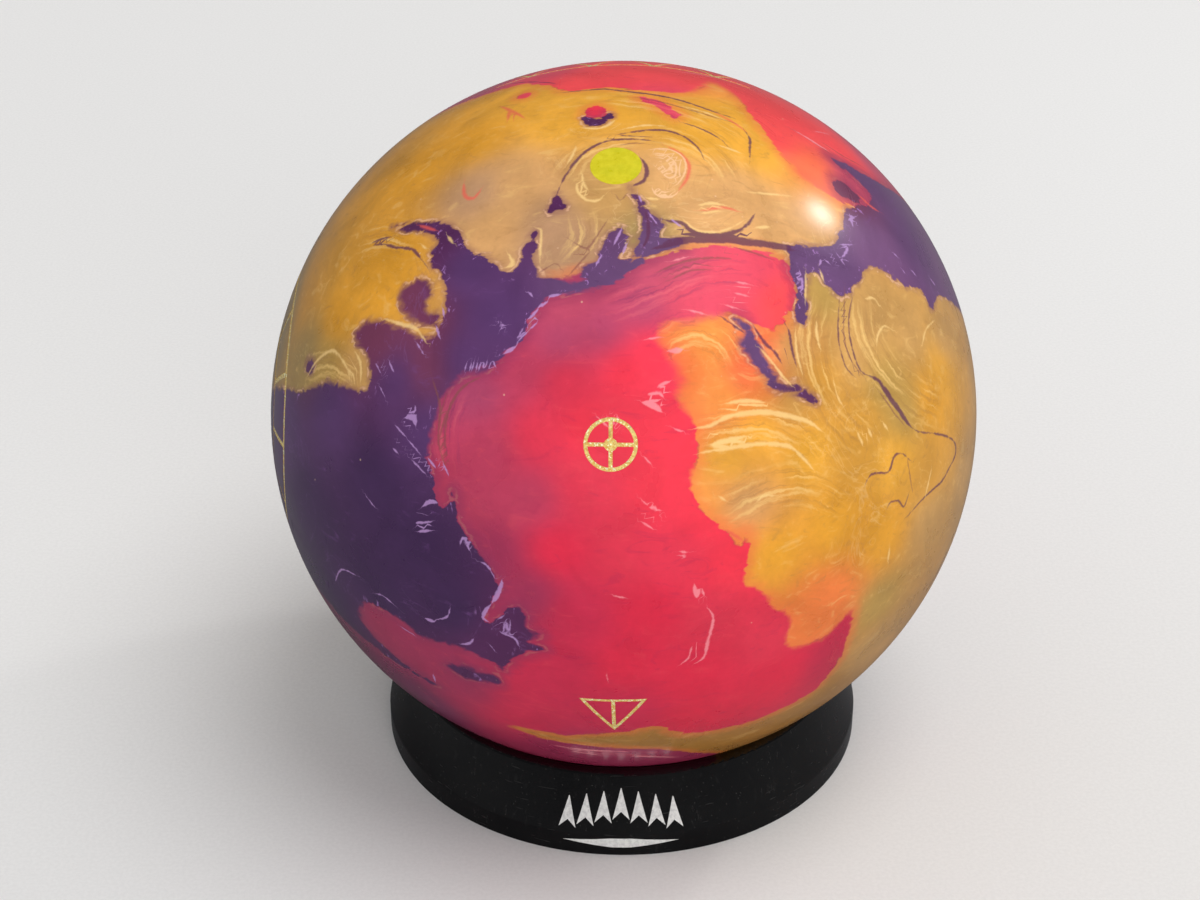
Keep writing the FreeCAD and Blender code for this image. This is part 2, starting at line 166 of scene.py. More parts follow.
PURPLE_AREAS = {
    "left": [
        (-44, 28.8), (-38, 29.2), (-33, 29.2), (-30, 28.4), (-28, 27), (-26, 25), (-23.5, 23.6),
        (-20.5, 22), (-18, 20.8), (-16.6, 22), (-15.7, 24.5), (-14.8, 27.2), (-14.1, 27), (-14, 24),
        (-13.8, 20.8), (-12, 19.7), (-9, 19.2), (-6, 19.6), (-3, 20.5), (0, 21.7), (3, 23.8),
        (6, 25.3), (9, 26), (9, 24.9), (6, 24), (3, 22.3), (0, 20), (-3.3, 18.4), (-6.5, 17.8),
        (-9.5, 17.2), (-11.7, 16.6), (-12.8, 15), (-14, 13.4), (-14.8, 11.2), (-15.7, 9.9),
        (-17.3, 8.4), (-19, 6.9), (-21.3, 6), (-24.5, 5.1), (-26.5, 2.9), (-27.8, 0.4),
        (-28.8, -2.4), (-29.5, -6), (-28.8, -9.6), (-28.6, -12), (-28, -13.8), (-26.6, -13),
        (-25.7, -11.3), (-25.4, -13.5), (-25.1, -17), (-23.5, -19.3), (-21.5, -22.7), (-20.4, -25),
        (-20.7, -26.7), (-23, -29.5), (-24.6, -31.5), (-23.4, -32.3), (-21.5, -31.4), (-19.5, -30),
        (-17.5, -29.3), (-16.6, -31), (-17, -33.2), (-14.6, -34.2), (-17.3, -35.3), (-14.3, -37),
        (-19, -37.8), (-22, -39.6), (-24.5, -41.3), (-27.3, -39), (-31, -37.4), (-36, -36.8),
        (-40.5, -35.3), (-43.5, -33), (-48, -30.8), (-52, -30), (-57, -33), (-56.5, -37),
        (-54, -40.5), (-50, -44), (-46, -46.5), (-47, -46.5), (-55, -42.5), (-65, -36.5),
        (-75, -30), (-88, -26), (-102, -14), (-108, -4), (-100, 3), (-88, 2.5), (-78, 3.6),
        (-68, 3.6), (-60, 3), (-55, 3.7), (-51, 4.6), (-46, 3.9), (-41, 3), (-40.3, 6), (-42, 9),
        (-45, 10.8), (-45.3, 12.2), (-43, 13.3), (-39, 13.4), (-35, 12.3), (-31.5, 11.2),
        (-29.3, 11), (-28, 13), (-27.5, 16), (-28.5, 18.5), (-29.8, 20.8), (-31.5, 22),
        (-32.8, 24.3), (-32, 26), (-33, 27.2), (-38, 28.1)],
    "left_blot": [
        (-36.4, 18.6), (-34, 19.8), (-31.8, 19.4), (-30.8, 18), (-31.4, 16), (-30.5, 14.6),
        (-28.6, 14.4), (-28.7, 12.9), (-31, 12.8), (-33.5, 13.8), (-35.7, 15), (-36.6, 16.8)],
    "left_speck": [(-58, 7), (-57.2, 8.3), (-55.8, 7.8), (-55.6, 6.6), (-57, 6)],
    "low_patch": [
        (-38, -41.6), (-34, -41.2), (-30, -42.3), (-27, -42.6), (-26.8, -44.7), (-31, -44.4),
        (-36, -43.2)],
    "right": [
        (27, 24), (28.3, 25.6), (32, 25.2), (35.4, 25.6), (38, 27), (40.2, 29), (41.2, 30.6),
        (43.5, 32.4), (47, 33.2), (50.5, 34), (54, 35.6), (53, 38.5), (50.3, 41.4), (48.3, 43.6),
        (52, 42.8), (57, 40.8), (64, 39), (73, 37), (84, 33), (96, 26), (104, 18), (96, 13.5),
        (84, 15.5), (75, 17.3), (67, 18.6), (62, 18.5), (58.3, 16.6), (56.8, 19.3), (52, 20),
        (49, 21), (46, 22.2), (43, 22.5), (41, 21.4), (39.5, 19.9), (37, 18.4), (35, 17.8),
        (33.2, 19.3), (32.2, 21), (30.8, 21.6), (29.6, 20.3), (28.9, 18), (28.4, 15.2),
        (27.4, 13.2), (26.5, 15), (27.2, 17.5), (26.9, 20)],
    "right_blot": [
        (43, 36.6), (44.6, 38.2), (47, 38), (48.6, 36.4), (49.6, 35), (48, 34.2), (46, 34.6),
        (44, 35)],
    "drop_shade": [
        (-10, 51), (-8.6, 50.2), (-6.5, 50.1), (-4.9, 50.6), (-3.9, 51.8), (-2.8, 51), (-3.6, 49.6),
        (-5.6, 48.6), (-8, 48.5), (-9.8, 49.4)],
    "vein_heart": [
        (0.8, 35.3), (2.2, 33.4), (4, 31), (5.2, 29.7), (6.5, 28), (5.8, 26.4), (7.5, 25.6),
        (4.8, 24.4), (1.5, 22.4), (-2, 20.4), (-5.5, 19.4), (-6.3, 21), (-4.2, 22.6), (-3.4, 25.4),
        (-1.6, 27.4), (-0.4, 28), (0.3, 25.6), (-0.8, 23), (1.2, 23.4), (2.8, 26), (2.9, 29),
        (2, 31.6)],
    "wedge": [
        (-12.9, 30.4), (-12.3, 32.4), (-11.7, 33.8), (-11.2, 32.4), (-10.1, 31.2), (-11.6, 31)],
    "feather": [
        (16.2, 13.9), (17.7, 13.5), (19.2, 12.3), (19.9, 10.2), (20.6, 8), (22.1, 6), (24, 4.6),
        (26, 4.6), (27.6, 3.4), (29.2, 1.8), (27, 2.5), (24.8, 3.3), (22.6, 3.5), (20.9, 4.9),
        (19.4, 7), (17.9, 8.6), (17, 10.4), (17.7, 11.6)],
    "far_band": [
        (108, -18), (122, -6), (138, -3), (154, -10), (168, -22), (-178, -30), (-160, -32),
        (-140, -28), (-122, -30), (-108, -24), (-100, -32), (-118, -42), (-140, -43), (-162, -46),
        (176, -44), (158, -38), (142, -26), (128, -20), (116, -26)],
}
# Lines: half their width in millimetres, then the points that they pass.
DARK_LINES = [
    (1.30, [(6.5, 25.6), (10, 26), (15, 26.1), (20, 25.8), (25, 25.2), (28.5, 24.6)]),
    (0.50, [(-12, 33), (-11.3, 36), (-9.8, 39.5), (-7.3, 42.6), (-4, 44.4), (0, 45), (4, 44.9),
            (6.5, 44.5)]),
    (0.45, [(-3, 45.7), (1, 46.6), (6, 47.3), (10, 47), (13, 45.6), (15, 43.3), (15.6, 41)]),
    (0.65, [(3, 41), (4.1, 38.8), (3.6, 36.4), (1.2, 35.1)]),
    (0.75, [(5.3, 29.6), (7.5, 29), (9.5, 28.7), (10.6, 27.6), (12.5, 26.8), (16, 26.8), (19, 27.7),
            (21, 28.9), (22.6, 30.7)]),
    (1.10, [(4, 24.2), (7, 25), (10, 25.7), (14, 26), (19, 25.9), (24, 25.6), (28, 25.3)]),
    (0.55, [(3.5, 31), (3.9, 28.5), (3.7, 26), (2.6, 24)]),
    (0.30, [(35.3, 18.3), (34, 14), (33.6, 10.5), (34.4, 7.2), (36, 5.6)]),
    (0.32, [(37.7, 17.5), (36.3, 14.8), (35.8, 11.7), (36.4, 8.3), (37.5, 6.4), (39.5, 5.6)]),
    (0.95, [(38.6, 5.9), (40.5, 5.3), (42, 3.9), (43.5, 2.4), (45.3, 0.7), (47, -0.8), (48.3, -1.7)]),
    (0.40, [(48, -1.6), (50.5, -2.4), (54.5, -2.6), (60, -3.2), (63, -4.3), (63.5, -6), (61.5, -8),
            (59.3, -10), (57, -11), (53.5, -12.8), (50, -15.5)]),
    (0.42, [(38.7, -11), (39, -9.7), (39.8, -8.7), (41.3, -8.4), (43.7, -8.2), (44.5, -6),
            (46.3, -5.6), (48.5, -6.6)]),
    (0.30, [(44.5, -14.2), (45, -13), (47, -12.7), (48.8, -13.7), (49.5, -11.5)]),
    (0.55, [(-47, 26), (-44, 26), (-40.5, 25.3), (-37, 24.9), (-34.6, 23.4), (-32.6, 21.8)]),
    (0.40, [(-47.5, 26.4), (-45, 27), (-43, 27.2)]),
    (0.50, [(-19, 58.6), (-12, 59.2), (-6, 59.6), (0, 58.7), (8, 57.6), (15, 56), (22, 53.2),
            (28, 51)]),
    (0.35, [(-50, 64.6), (-40, 64.6), (-30, 63.6), (-23, 62.4)]),
    (0.50, [(14.5, 14), (18, 11.6)]),
    (0.50, [(19.3, 12.8), (20.9, 10.3), (22.4, 9), (23.4, 7.3)]),
    (0.40, [(24.3, 13.5), (25, 12), (25.2, 9.5), (25.8, 7)]),
    (0.45, [(28, 48), (28, 46), (26.6, 43.5), (25.4, 41)]),
    (0.35, [(13, 49.5), (17, 48), (20.5, 45.8), (21.7, 44)]),
]
FINE_DARK_LINES = [
    (0.25, [(-1, 43.6), (2, 44.1), (5, 43.9)]),
    (0.28, [(36.5, 19), (35.5, 15.5), (34.7, 12), (35.1, 9), (36.4, 7), (38.3, 5.3)]),
    (0.35, [(2, 56.7), (9, 55.4), (16, 53.2), (22, 51.3), (27, 49.8)]),
    (0.30, [(-9, 26), (-6, 24.4), (-4.6, 26), (-2.8, 29)]),
    (0.35, [(-8.3, 20.2), (-6.4, 22.6), (-5.2, 24)]),
    (0.30, [(-13, 20.6), (-10.6, 22), (-9.6, 21)]),
    (0.30, [(0.6, 34), (-0.6, 32.6), (-1.6, 33.6)]),
    (0.25, [(47.5, -5.8), (49, -9), (50.5, -11.6)]),
    (0.30, [(40, 4.3), (42, 2.4), (44.3, 0.2), (46.8, -1.6)]),
    (0.40, [(5, 20.6), (9, 22.3), (13, 23), (17, 23)]),
    (0.30, [(6.5, 19.2), (10, 20.9), (13.5, 21.2)]),
    (0.35, [(17, 25), (21, 24), (24.5, 22.8)]),
    (0.40, [(-29, 5.6), (-27.3, 1), (-27.6, -4), (-26.6, -8)]),
    (0.45, [(-21, 5.2), (-24, 3.4), (-26, 0), (-26.5, -4.5), (-26, -7)]),
    (0.35, [(51, 47), (55, 44.3), (61, 42.3)]),
    (0.25, [(43, 50), (47, 46.8), (50.5, 44)]),
]
PALE_LINES = [
    (0.45, [(-1, 47.2), (2, 48), (5.5, 48.5), (9, 48.3)]),
    (0.35, [(-14.6, 27.8), (-13.6, 27.4), (-13.3, 24.5), (-13.1, 22)]),
    (0.32, [(9.6, 29.5), (10.6, 28.5), (12, 27.5), (15, 27.3), (18, 28.2), (20, 29.3)]),
    (0.50, [(22, 28.2), (24.8, 28.5)]),
    (0.50, [(12.8, 31.8), (15, 32.3), (17.5, 32)]),
    (0.35, [(13, 30.4), (16.5, 31)]),
    (0.35, [(22.5, 34.6), (27, 34.4), (31, 34.3)]),
    (0.40, [(3.8, 33), (6, 32.8)]),
    (0.40, [(40.5, 17.4), (42.3, 17.6), (43.3, 16.4)]),
    (0.35, [(41, 9.6), (41.6, 11.8), (43.5, 13.3), (45.5, 12.7)]),
    (0.35, [(52.5, 10.5), (54.5, 13), (58, 14.6)]),
    (0.45, [(30, 14), (29.7, 12), (30, 9.6)]),
    (0.35, [(26, 12), (26, 8.8), (26.7, 5.8)]),
    (0.30, [(32, 5), (32.8, 2.5), (33.8, 1.2)]),
    (0.55, [(36.4, -2.4), (37.6, -4.2)]),
    (0.45, [(38.4, -1.8), (39.4, -3.2)]),
    (0.35, [(41.6, -1), (42.6, -2)]),
    (0.80, [(10.3, -1.9), (12.5, -1.5), (15.2, -0.2), (19.7, 0.4), (23.5, 0), (27.5, -0.9),
            (30, -2.4)]),
    (0.75, [(12.2, -4.3), (15.2, -3.6), (17.8, -3)]),
    (0.70, [(10.8, -5.4), (15.2, -4.7), (20.4, -4.1), (24.3, -4.4), (26.4, -5.7), (28.8, -7.8)]),
    (0.60, [(14.5, 1.6), (17.5, 2), (20.5, 1.8)]),
    (0.35, [(19.8, -12.6), (21, -11.6), (22.8, -11.6)]),
    (0.30, [(14, -11.6), (15.2, -12.3)]),
    (0.30, [(31.8, -13.1), (32.3, -13.4)]),
    (0.35, [(20.2, 9.4), (22, 7.4), (23.6, 5.4), (24.8, 4.3)]),
    (0.55, [(-39, 13.9), (-35, 13), (-32.5, 12.3), (-30.4, 10.4)]),
    (0.50, [(-57, 5.6), (-55, 7.5), (-52.5, 8.8), (-50, 9.3), (-47.5, 8), (-45.8, 6.4), (-45, 4.8)]),
    (0.45, [(-44.6, 9.2), (-42.9, 7.3), (-42.5, 4.6)]),
    (0.40, [(-46.6, 7), (-44.4, 5.6), (-43.8, 4.4)]),
    (0.50, [(-8.6, 36), (-8.2, 34.2), (-6.4, 32.6), (-4.4, 32.6), (-3.4, 33.6)]),
    (0.40, [(-7.8, 37.6), (-7.4, 35.8), (-6.2, 34.2)]),
    (0.40, [(-9.8, 43.4), (-10.4, 41), (-11, 39.6)]),
    (0.45, [(-9.5, 47.8), (-6, 47.6), (-3.6, 48.5), (-2.2, 49.9)]),
    (0.40, [(-30.2, 26.8), (-28.8, 25.6)]),
    (0.55, [(-18.4, 23.6), (-17.4, 22), (-18.6, 21.4)]),
    (0.40, [(-33.9, 24.9), (-35.2, 25.6)]),
    (0.40, [(32.4, 21.6), (32.6, 19.9)]),
    (0.35, [(29.5, 21.2), (28.9, 18.6), (28.3, 16)]),
    (0.35, [(54.4, -12.3), (55, -8)]),
    (0.35, [(47.8, -20), (48.6, -22.4)]),
    (0.40, [(15.5, 54), (20, 52.6), (24.5, 50.6)]),
    (0.40, [(20, 44), (24, 42.6)]),
]
SWIRL_LINES = [
    (0.30, [(4.8, 42.6), (7.6, 43), (10, 42.4), (11.6, 40.8), (11.4, 38.4), (9.8, 36), (8.8, 35.2)]),
    (0.30, [(5.4, 41.9), (8, 41.6), (9.7, 39.9), (9.3, 37.4), (7.9, 36.9), (6.6, 38.4), (5.4, 39.4)]),
    (0.28, [(6, 41), (7.8, 40.7), (8.7, 39.2), (8, 38.2), (6.9, 39.6)]),
    (0.32, [(4.9, 35), (5.3, 33.9), (6.6, 33.2), (8.4, 33.4), (9.6, 34.4)]),
    (0.25, [(5.9, 34.9), (6.7, 34.1), (8, 34.3)]),
]
RED_LINES = [
    (0.55, [(8.8, 43.4), (11, 42), (12.3, 39.6), (11.4, 36.8), (9.6, 34.6)]),
    (0.45, [(13, 30.9), (17, 31.6), (19.5, 31)]),
    (0.45, [(23, 52.5), (26, 50.4), (28.2, 47.8)]),
    (0.60, [(-35, 55), (-31, 53.6), (-27, 52), (-25, 51)]),
    (0.50, [(-31, 53.6), (-29, 50.6)]),
    (0.60, [(-31, 36.4), (-29.6, 34), (-27.6, 33.4), (-26.6, 35)]),
    (0.50, [(49.5, 35.6), (51.6, 33.6), (53.4, 32.8)]),
    (0.50, [(-33, 27.9), (-37, 28.9)]),
    (0.45, [(15.5, -16.6), (18.4, -18.2)]),
]
PINK_LINES = [
    (0.80, [(6.3, 8.9), (8.5, 9.2)]),
    (0.45, [(4.9, 4), (6.6, 4.7)]),
    (0.90, [(2.6, 1.7), (4, 1.4), (5.4, 0.4)]),
    (0.60, [(3.4, 2.8), (5, 3), (5.6, 2.4)]),
    (0.28, [(3, 10.6), (5.3, 11)]),
    (0.30, [(9.5, 15), (12, 14.4)]),
    (0.30, [(15.2, 15.8), (17.8, 15.1)]),
    (0.30, [(2.7, -12.2), (4.5, -13.5), (5.9, -13.7)]),
    (0.40, [(4.4, -12.8), (5.4, -14.4)]),
    (0.30, [(3, -15.5), (4.4, -16.4)]),
    (0.40, [(8.7, -19.9), (10, -20)]),
    (0.35, [(9.3, -20.9), (9.9, -20.4)]),
    (0.75, [(11.4, -25), (12.2, -27.4)]),
    (0.45, [(12.8, -25.8), (13.4, -27)]),
    (0.50, [(14.4, -29.2), (15.6, -31), (15.5, -35), (15.5, -38.3), (14, -39.6)]),
    (0.35, [(12.7, -36.2), (12.5, -38.4), (11.3, -39.7)]),
    (0.25, [(-3.6, -0.4), (-1.6, -2.3)]),
    (0.25, [(-2.2, -0.4), (-0.8, -1.8)]),
    (0.25, [(-0.9, -0.3), (-0.3, -1.2)]),
    (0.28, [(7, -1.9), (8.4, -2.4)]),
    (0.25, [(3, -6), (4, -7)]),
    (0.30, [(7.4, 22.4), (10.2, 23.2)]),
    (0.28, [(17, 19.4), (19.6, 19)]),
    (0.28, [(16.6, 17.7), (19, 17.2)]),
    (0.25, [(-1.4, -27), (0.6, -27.4)]),
    (0.25, [(-3, -41.6), (-2.9, -43)]),
    (0.35, [(60, 50), (53, 50)]),
    (0.60, [(44, 49.4), (48, 46.4), (50, 45)]),
    (0.35, [(24, 69), (32, 68.4), (38, 67)]),
    (0.55, [(-24, -63.6), (-14, -65), (-4, -65.4), (6, -65.8)]),
    (0.60, [(4, -68.2), (16, -69), (28, -70)]),
    (0.50, [(-20, -65.8), (-8, -68)]),
]
LILAC_LINES = [
    (0.45, [(-9.6, 17.2), (-11.5, 16.9)]),
    (0.50, [(-11.3, 16.2), (-12.8, 15.2)]),
    (0.45, [(-12.7, 15), (-14, 13.5)]),
    (0.30, [(-12.6, 13.2), (-14, 11.8), (-15.5, 10.3)]),
    (0.60, [(-15.6, 9.6), (-17.7, 8.4)]),
    (0.28, [(-14.6, 12.6), (-15.6, 10.6)]),
    (0.28, [(-19, 7.4), (-18.6, 6.6)]),
    (0.28, [(-19.9, 7.4), (-20.3, 6.5)]),
    (0.28, [(-20.8, 7.3), (-21.3, 6.3)]),
    (0.28, [(-22, 7.2), (-22.4, 6.2)]),
    (0.28, [(-23.2, 7.1), (-23.5, 6.1)]),
    (0.35, [(-19, 12.6), (-17.6, 12.7)]),
    (0.30, [(-18.2, 13.2), (-18.4, 12)]),
    (0.32, [(-14.4, 17.6), (-13.6, 16.9)]),
    (0.35, [(-28.2, 15.4), (-27.6, 13.8)]),
    (0.35, [(-29, 12.8), (-28, 10.9)]),
    (0.30, [(-39.6, 7.3), (-38.4, 5.8)]),
    (0.30, [(-36.9, 7.5), (-35.9, 6)]),
    (0.30, [(-38.4, 3.8), (-37.2, 2.2)]),
    (0.30, [(-32, 10.2), (-30.6, 8.6)]),
    (0.90, [(-33.4, -0.6), (-31.9, -0.6), (-31.5, -1.8)]),
    (0.35, [(-31.6, 1.2), (-31.4, -1)]),
    (0.28, [(-35.2, -1.8), (-33.4, -3.4)]),
    (0.32, [(-32.8, -4), (-30.5, -6.3)]),
    (0.32, [(-32.8, -6.5), (-30.2, -8.8)]),
    (0.28, [(-36, -5), (-34.8, -6)]),
    (0.35, [(-29.6, -6.4), (-28.2, -8)]),
    (0.30, [(-27, -7.2), (-26.2, -9)]),
    (0.28, [(-42.6, -12.3), (-41, -14)]),
    (0.60, [(-31.4, -13.7), (-30, -12.9), (-28.4, -13)]),
    (0.40, [(-33.4, -16.2), (-30, -15.9)]),
    (0.50, [(-33, -17.5), (-30.4, -17.3)]),
    (0.30, [(-25.9, -19.6), (-24.8, -18.1), (-23.5, -19.3)]),
    (0.35, [(-24.6, -18.6), (-24.2, -20.2)]),
    (0.35, [(-23.2, -21.8), (-21.7, -22.4), (-20.7, -24.3)]),
    (0.75, [(-19.4, -24.9), (-20.6, -27), (-22.1, -28.7)]),
    (0.60, [(-22.4, -29), (-23.6, -30), (-24.5, -31.4), (-23.5, -32.2)]),
    (0.30, [(-22.2, -31.8), (-20.4, -30.8)]),
    (0.30, [(-21.3, -33.8), (-20.6, -31.9)]),
    (0.30, [(-20.2, -33.8), (-19.5, -31.8)]),
    (0.35, [(-22, -34), (-19.5, -35), (-19.2, -36.4)]),
    (0.40, [(-31.4, -36.7), (-29.3, -36.4), (-27.9, -35.4)]),
    (0.28, [(-25, -36.4), (-24.4, -37.6)]),
    (0.70, [(-37, -32.2), (-35.2, -32.6)]),
    (0.28, [(-34.6, -32.2), (-32, -31.6), (-30.6, -30)]),
    (0.32, [(-48, -28.3), (-45.4, -28.6), (-42.4, -31)]),
    (0.28, [(-60, -27), (-55, -24.6), (-50, -25.6)]),
    (0.40, [(-44.4, -34.3), (-42, -35.6)]),
    (0.50, [(-45.4, -45.6), (-44.2, -44)]),
    (0.40, [(42.4, 30.5), (45.2, 31.4)]),
    (0.35, [(43.6, 31.6), (43, 29.4)]),
    (0.45, [(37.4, 23.7), (39, 24.9), (40.5, 26.7)]),
    (0.35, [(38.2, 26), (41, 26.2)]),
    (0.30, [(36.6, 24.8), (37.8, 22.6)]),
    (0.35, [(33.6, 23.6), (34.8, 22.6)]),
    (0.35, [(32.4, 22.4), (33.2, 23.4)]),
    (0.40, [(28.4, 21.6), (28.5, 19.3), (28, 17.6)]),
    (0.30, [(27.6, 21), (28, 19.4)]),
    (0.30, [(27.4, 19.2), (27.9, 18)]),
    (0.30, [(51.5, 25.4), (52.4, 24.6)]),
    (0.35, [(52, 23), (53, 21.8)]),
    (0.30, [(55.5, 22.6), (56.4, 21.8)]),
    (0.40, [(62, 21.6), (63.4, 20.4)]),
    (0.40, [(4.2, 30.2), (5.4, 28.4)]),
    (0.35, [(2.4, 33.6), (3, 32)]),
    (0.40, [(-0.4, 27.6), (-1.6, 25)]),
    (0.40, [(-3.4, 23.4), (-4.4, 21.6)]),
    (0.35, [(0.4, 25.2), (-0.2, 23.6)]),
    (0.30, [(7.6, 29.4), (9.4, 28)]),
]
# Broad bundles of fine streaks: half their width in millimetres, then the points they follow.
STREAK_BUNDLES = [
    (7.0, [(9.8, -2.6), (15, -1.6), (21, -1.4), (27, -3.4), (31, -7)]),
    (7.5, [(31.5, 18), (29, 12), (29.4, 6), (33, 0), (39, -4)]),
    (9.0, [(40, 18), (39.4, 12), (43, 6.5), (50, 2.5), (57, 0.6)]),
    (8.0, [(-6, 57), (4, 55.6), (14, 53), (22, 49), (27, 44)]),
    (7.0, [(5, 46.6), (12, 45.4), (18, 41), (20, 36)]),
    (6.0, [(-12, 36), (-9, 41.4), (-3, 44.2), (4, 44.4)]),
    (6.0, [(-7, 31), (-6, 26), (-9, 21.6)]),
    (7.0, [(4, 9), (9, 12), (14, 11), (17, 7)]),
    (8.0, [(14, -14), (21, -10.6), (29, -10), (37, -13)]),
    (7.0, [(-3, 15), (4, 17.6), (12, 21), (20, 21.6)]),
    (6.0, [(-24, 4), (-26.4, -2), (-26, -9)]),
    (6.0, [(-20, -62.4), (0, -66), (20, -67.4)]),
    (7.0, [(-52, 27), (-44, 27.6), (-36, 26)]),
    (6.0, [(-58, 7), (-50, 7.6), (-43, 5)]),
]
# Where the edges between colours are blurred: (longitude, latitude, radius, extra mm).
BLURRED = [
    (8, 10, 5, 2.4), (9, 4, 4, 2.2), (12, 13, 3.5, 1.2), (-23, 4, 4, 1.6), (-27, -3, 4, 1.2),
    (-43, 11, 4, 0.9), (-36, 17, 4, 1.3), (-50, 3.5, 6, 0.7), (-33, 13, 4, 0.9),
    (10, -8, 3, 0.7), (24, -27, 5, 0.7), (34, -35, 6, 0.9), (40, -31, 5, 1.4),
    (36, 40, 4, 1.6), (30, 62, 6, 2.2), (-40, -37, 6, 0.7), (-60, -33, 7, 1.2),
    (-38, 28, 4, 0.6), (-16, -34, 3, 0.5), (-32, -43, 5, 0.7), (-33, -57, 4, 0.5),
    (-8, 18, 5, 0.5), (24, 5, 3, 0.6), (18, 9, 3, 0.5), (-20, -22, 3, 0.5),
    (-75, 3, 8, 0.8), (-80, -30, 12, 1.6),
]


# ---------------------------------------------------------------- colours

# Each resin's palette: a colour and the places where it shows most purely.
GOLD_NOTES = [
    ((225, 156, 40), [(-50, 15), (-45, 40), (-34, 46), (-40, 24), (-42, 18), (54, 2), (24, -20),
            (34, -16), (45, -18), (120, 0), (180, 10), (-150, 20)]),
    ((235, 168, 52), [(-30, 56), (-15, 50), (0, 53), (14, 46), (22, 46), (30, 43), (28, 54),
            (20, -2), (28, -5), (15, -6), (58, 7), (45, -6)]),
    ((216, 162, 102), [(8, 38), (20, 35), (26, 30), (14, 31), (-20, 36), (-22, 28), (18, -13)]),
    ((200, 152, 88), [(40, 15), (36, 9), (50, 12), (60, 12), (25, 9), (72, -10), (58, -16), (82, 5),
            (-3, 33), (-43, 6), (60, -38)]),
    ((186, 142, 106), [(-12, 28), (-9, 24), (-6, 21), (-27, 34)]),
    ((180, 144, 74), [(32, 18), (42, 4), (46, 0), (24, 3), (50, -30), (-52, 7)]),
    # At the ball's left edge, (-75, 15) and (-58, 8), the next note is partly painted shade and
    # painted reflection, darker and greyer than the gold; at (3, 27) it is the resin's own colour.
    ((160, 132, 78), [(3, 27), (-75, 15), (-58, 8)]),
    ((208, 148, 54), [(-60, 45), (-62, 20), (38, -1), (30, 5), (35, -5), (55, -8), (-120, 10),
            (150, -10), (-95, 20), (-150, -30)]),
    ((172, 120, 50), [(20, -60), (0, -60), (-18, -60), (56, -50), (120, -50)]),
    ((248, 155, 68), [(13, 9), (12, 12.5), (14, 2.5), (30, 60), (37.5, 40), (12, -12)]),
    ((240, 125, 60), [(10, 5), (10.5, 0), (21, 4.5), (33, -33), (39, -32), (37, -28), (16, -18)]),
    ((255, 102, 70), [(7, 7), (17.5, 6), (19.5, 9.5)]),
]
RED_NOTES = [
    ((252, 86, 86), [(0, 70), (-18, 63), (30, 67), (45, 52), (36, 46), (58, 48), (24, 16),
            (140, 60), (-130, 60), (150, 12)]),
    ((255, 128, 76), [(37.5, 40), (40, 40)]),
    ((244, 58, 78), [(4, 9.5), (0, 6), (-5, -2), (3, -3), (8, -4), (5, -10), (17, -22), (12, -15),
            (-7, 52)]),
    ((232, 82, 104), [(20, 22), (15, 18), (10, 16.5), (11, 53), (-35, 66)]),
    ((196, 84, 110), [(8, 21), (0, 18), (-8, 16), (50, 38), (72, 44), (-60, 61)]),
    ((170, 74, 108), [(3, 14.5), (-3, 12), (-9, 10), (-21, 3), (-82, 53)]),
    ((188, 68, 98), [(-15, 6), (-20, -5), (-22, -11), (-14, -12)]),
    ((222, 56, 80), [(-8, 5), (-12, -3), (-5, -10), (0, -20), (9, -20), (28, -34), (15, -30),
            (-170, 0)]),
    ((224, 40, 72), [(5, -30), (-10, -20), (0, -40), (15, -43), (35, -43), (20, -52), (160, -70)]),
    ((202, 42, 78), [(-8, -30), (-10, -40), (0, -50), (-20, -46), (-25, -54), (45, -40)]),
    ((162, 54, 92), [(-20, -20), (-15, -27), (-36, -44), (0, -68), (20, -68), (-20, -65), (-48, -36)]),
    ((120, 54, 92), [(-62, -50), (-75, -40)]),
]
PURPLE_NOTES = [
    ((88, 60, 110), [(-25, 21), (-20, 14), (-35, 5), (-24, 8), (-30, -3), (-65, -2), (-50, 0),
            (150, -20)]),
    ((66, 42, 86), [(-40, -10), (-60, -15), (-35, -20), (-30, -30), (-45, -27), (-66, -27),
            (-140, -35), (-100, -10)]),
    ((86, 44, 90), [(-20, -33), (-26, -38), (-52, -42), (-33, -43), (-12, 31.5), (-32, 26), (-6, 50)]),
    ((118, 62, 90), [(-36, 17), (-40, 11), (-31, 13), (-30, 7), (46, 36)]),
    ((104, 78, 120), [(60, 28), (35, 22), (28, 19), (56, 39), (-5, 19), (5, 26), (100, 22), (20, 8)]),
    ((118, 88, 128), [(46, 27), (74, 27)]),
    ((96, 58, 96), [(2, 31), (27, 3), (-57, 7)]),
]
# Each resin: its palette, its areas, how far its clouds and its mottle change its brightness, a
# tint over all of it, and the marks of the pour in it, each with its strength and colour.
RESINS = {
    "gold": (GOLD_NOTES, None, (0.84, 1.14), (0.965, 1.035), (1.0, 1.0, 1.0), [
        ("light_brush", 0.30, (250, 206, 128)), ("dark_brush", 0.30, (166, 118, 66)),
        ("light_streak", 0.62, (250, 208, 130)), ("dark_streak", 0.36, (150, 104, 62)),
        ("light_vein", 0.40, (252, 218, 158)), ("dark_vein", 0.40, (158, 104, 70))]),
    "red": (RED_NOTES, RED_AREAS, (0.90, 1.10), (0.97, 1.03), (1.0, 0.80, 0.88), [
        ("light_brush", 0.12, (255, 96, 100)), ("dark_brush", 0.25, (164, 30, 76)),
        ("light_streak", 0.30, (255, 124, 128)), ("dark_streak", 0.55, (126, 46, 92)),
        ("light_vein", 0.06, (255, 150, 150))]),
    "purple": (PURPLE_NOTES, PURPLE_AREAS, (0.86, 1.14), (1.0, 1.0), (0.98, 0.78, 0.86), [
        ("wisps", 0.35, (126, 80, 146)), ("light_vein", 0.35, (158, 112, 178))]),
}
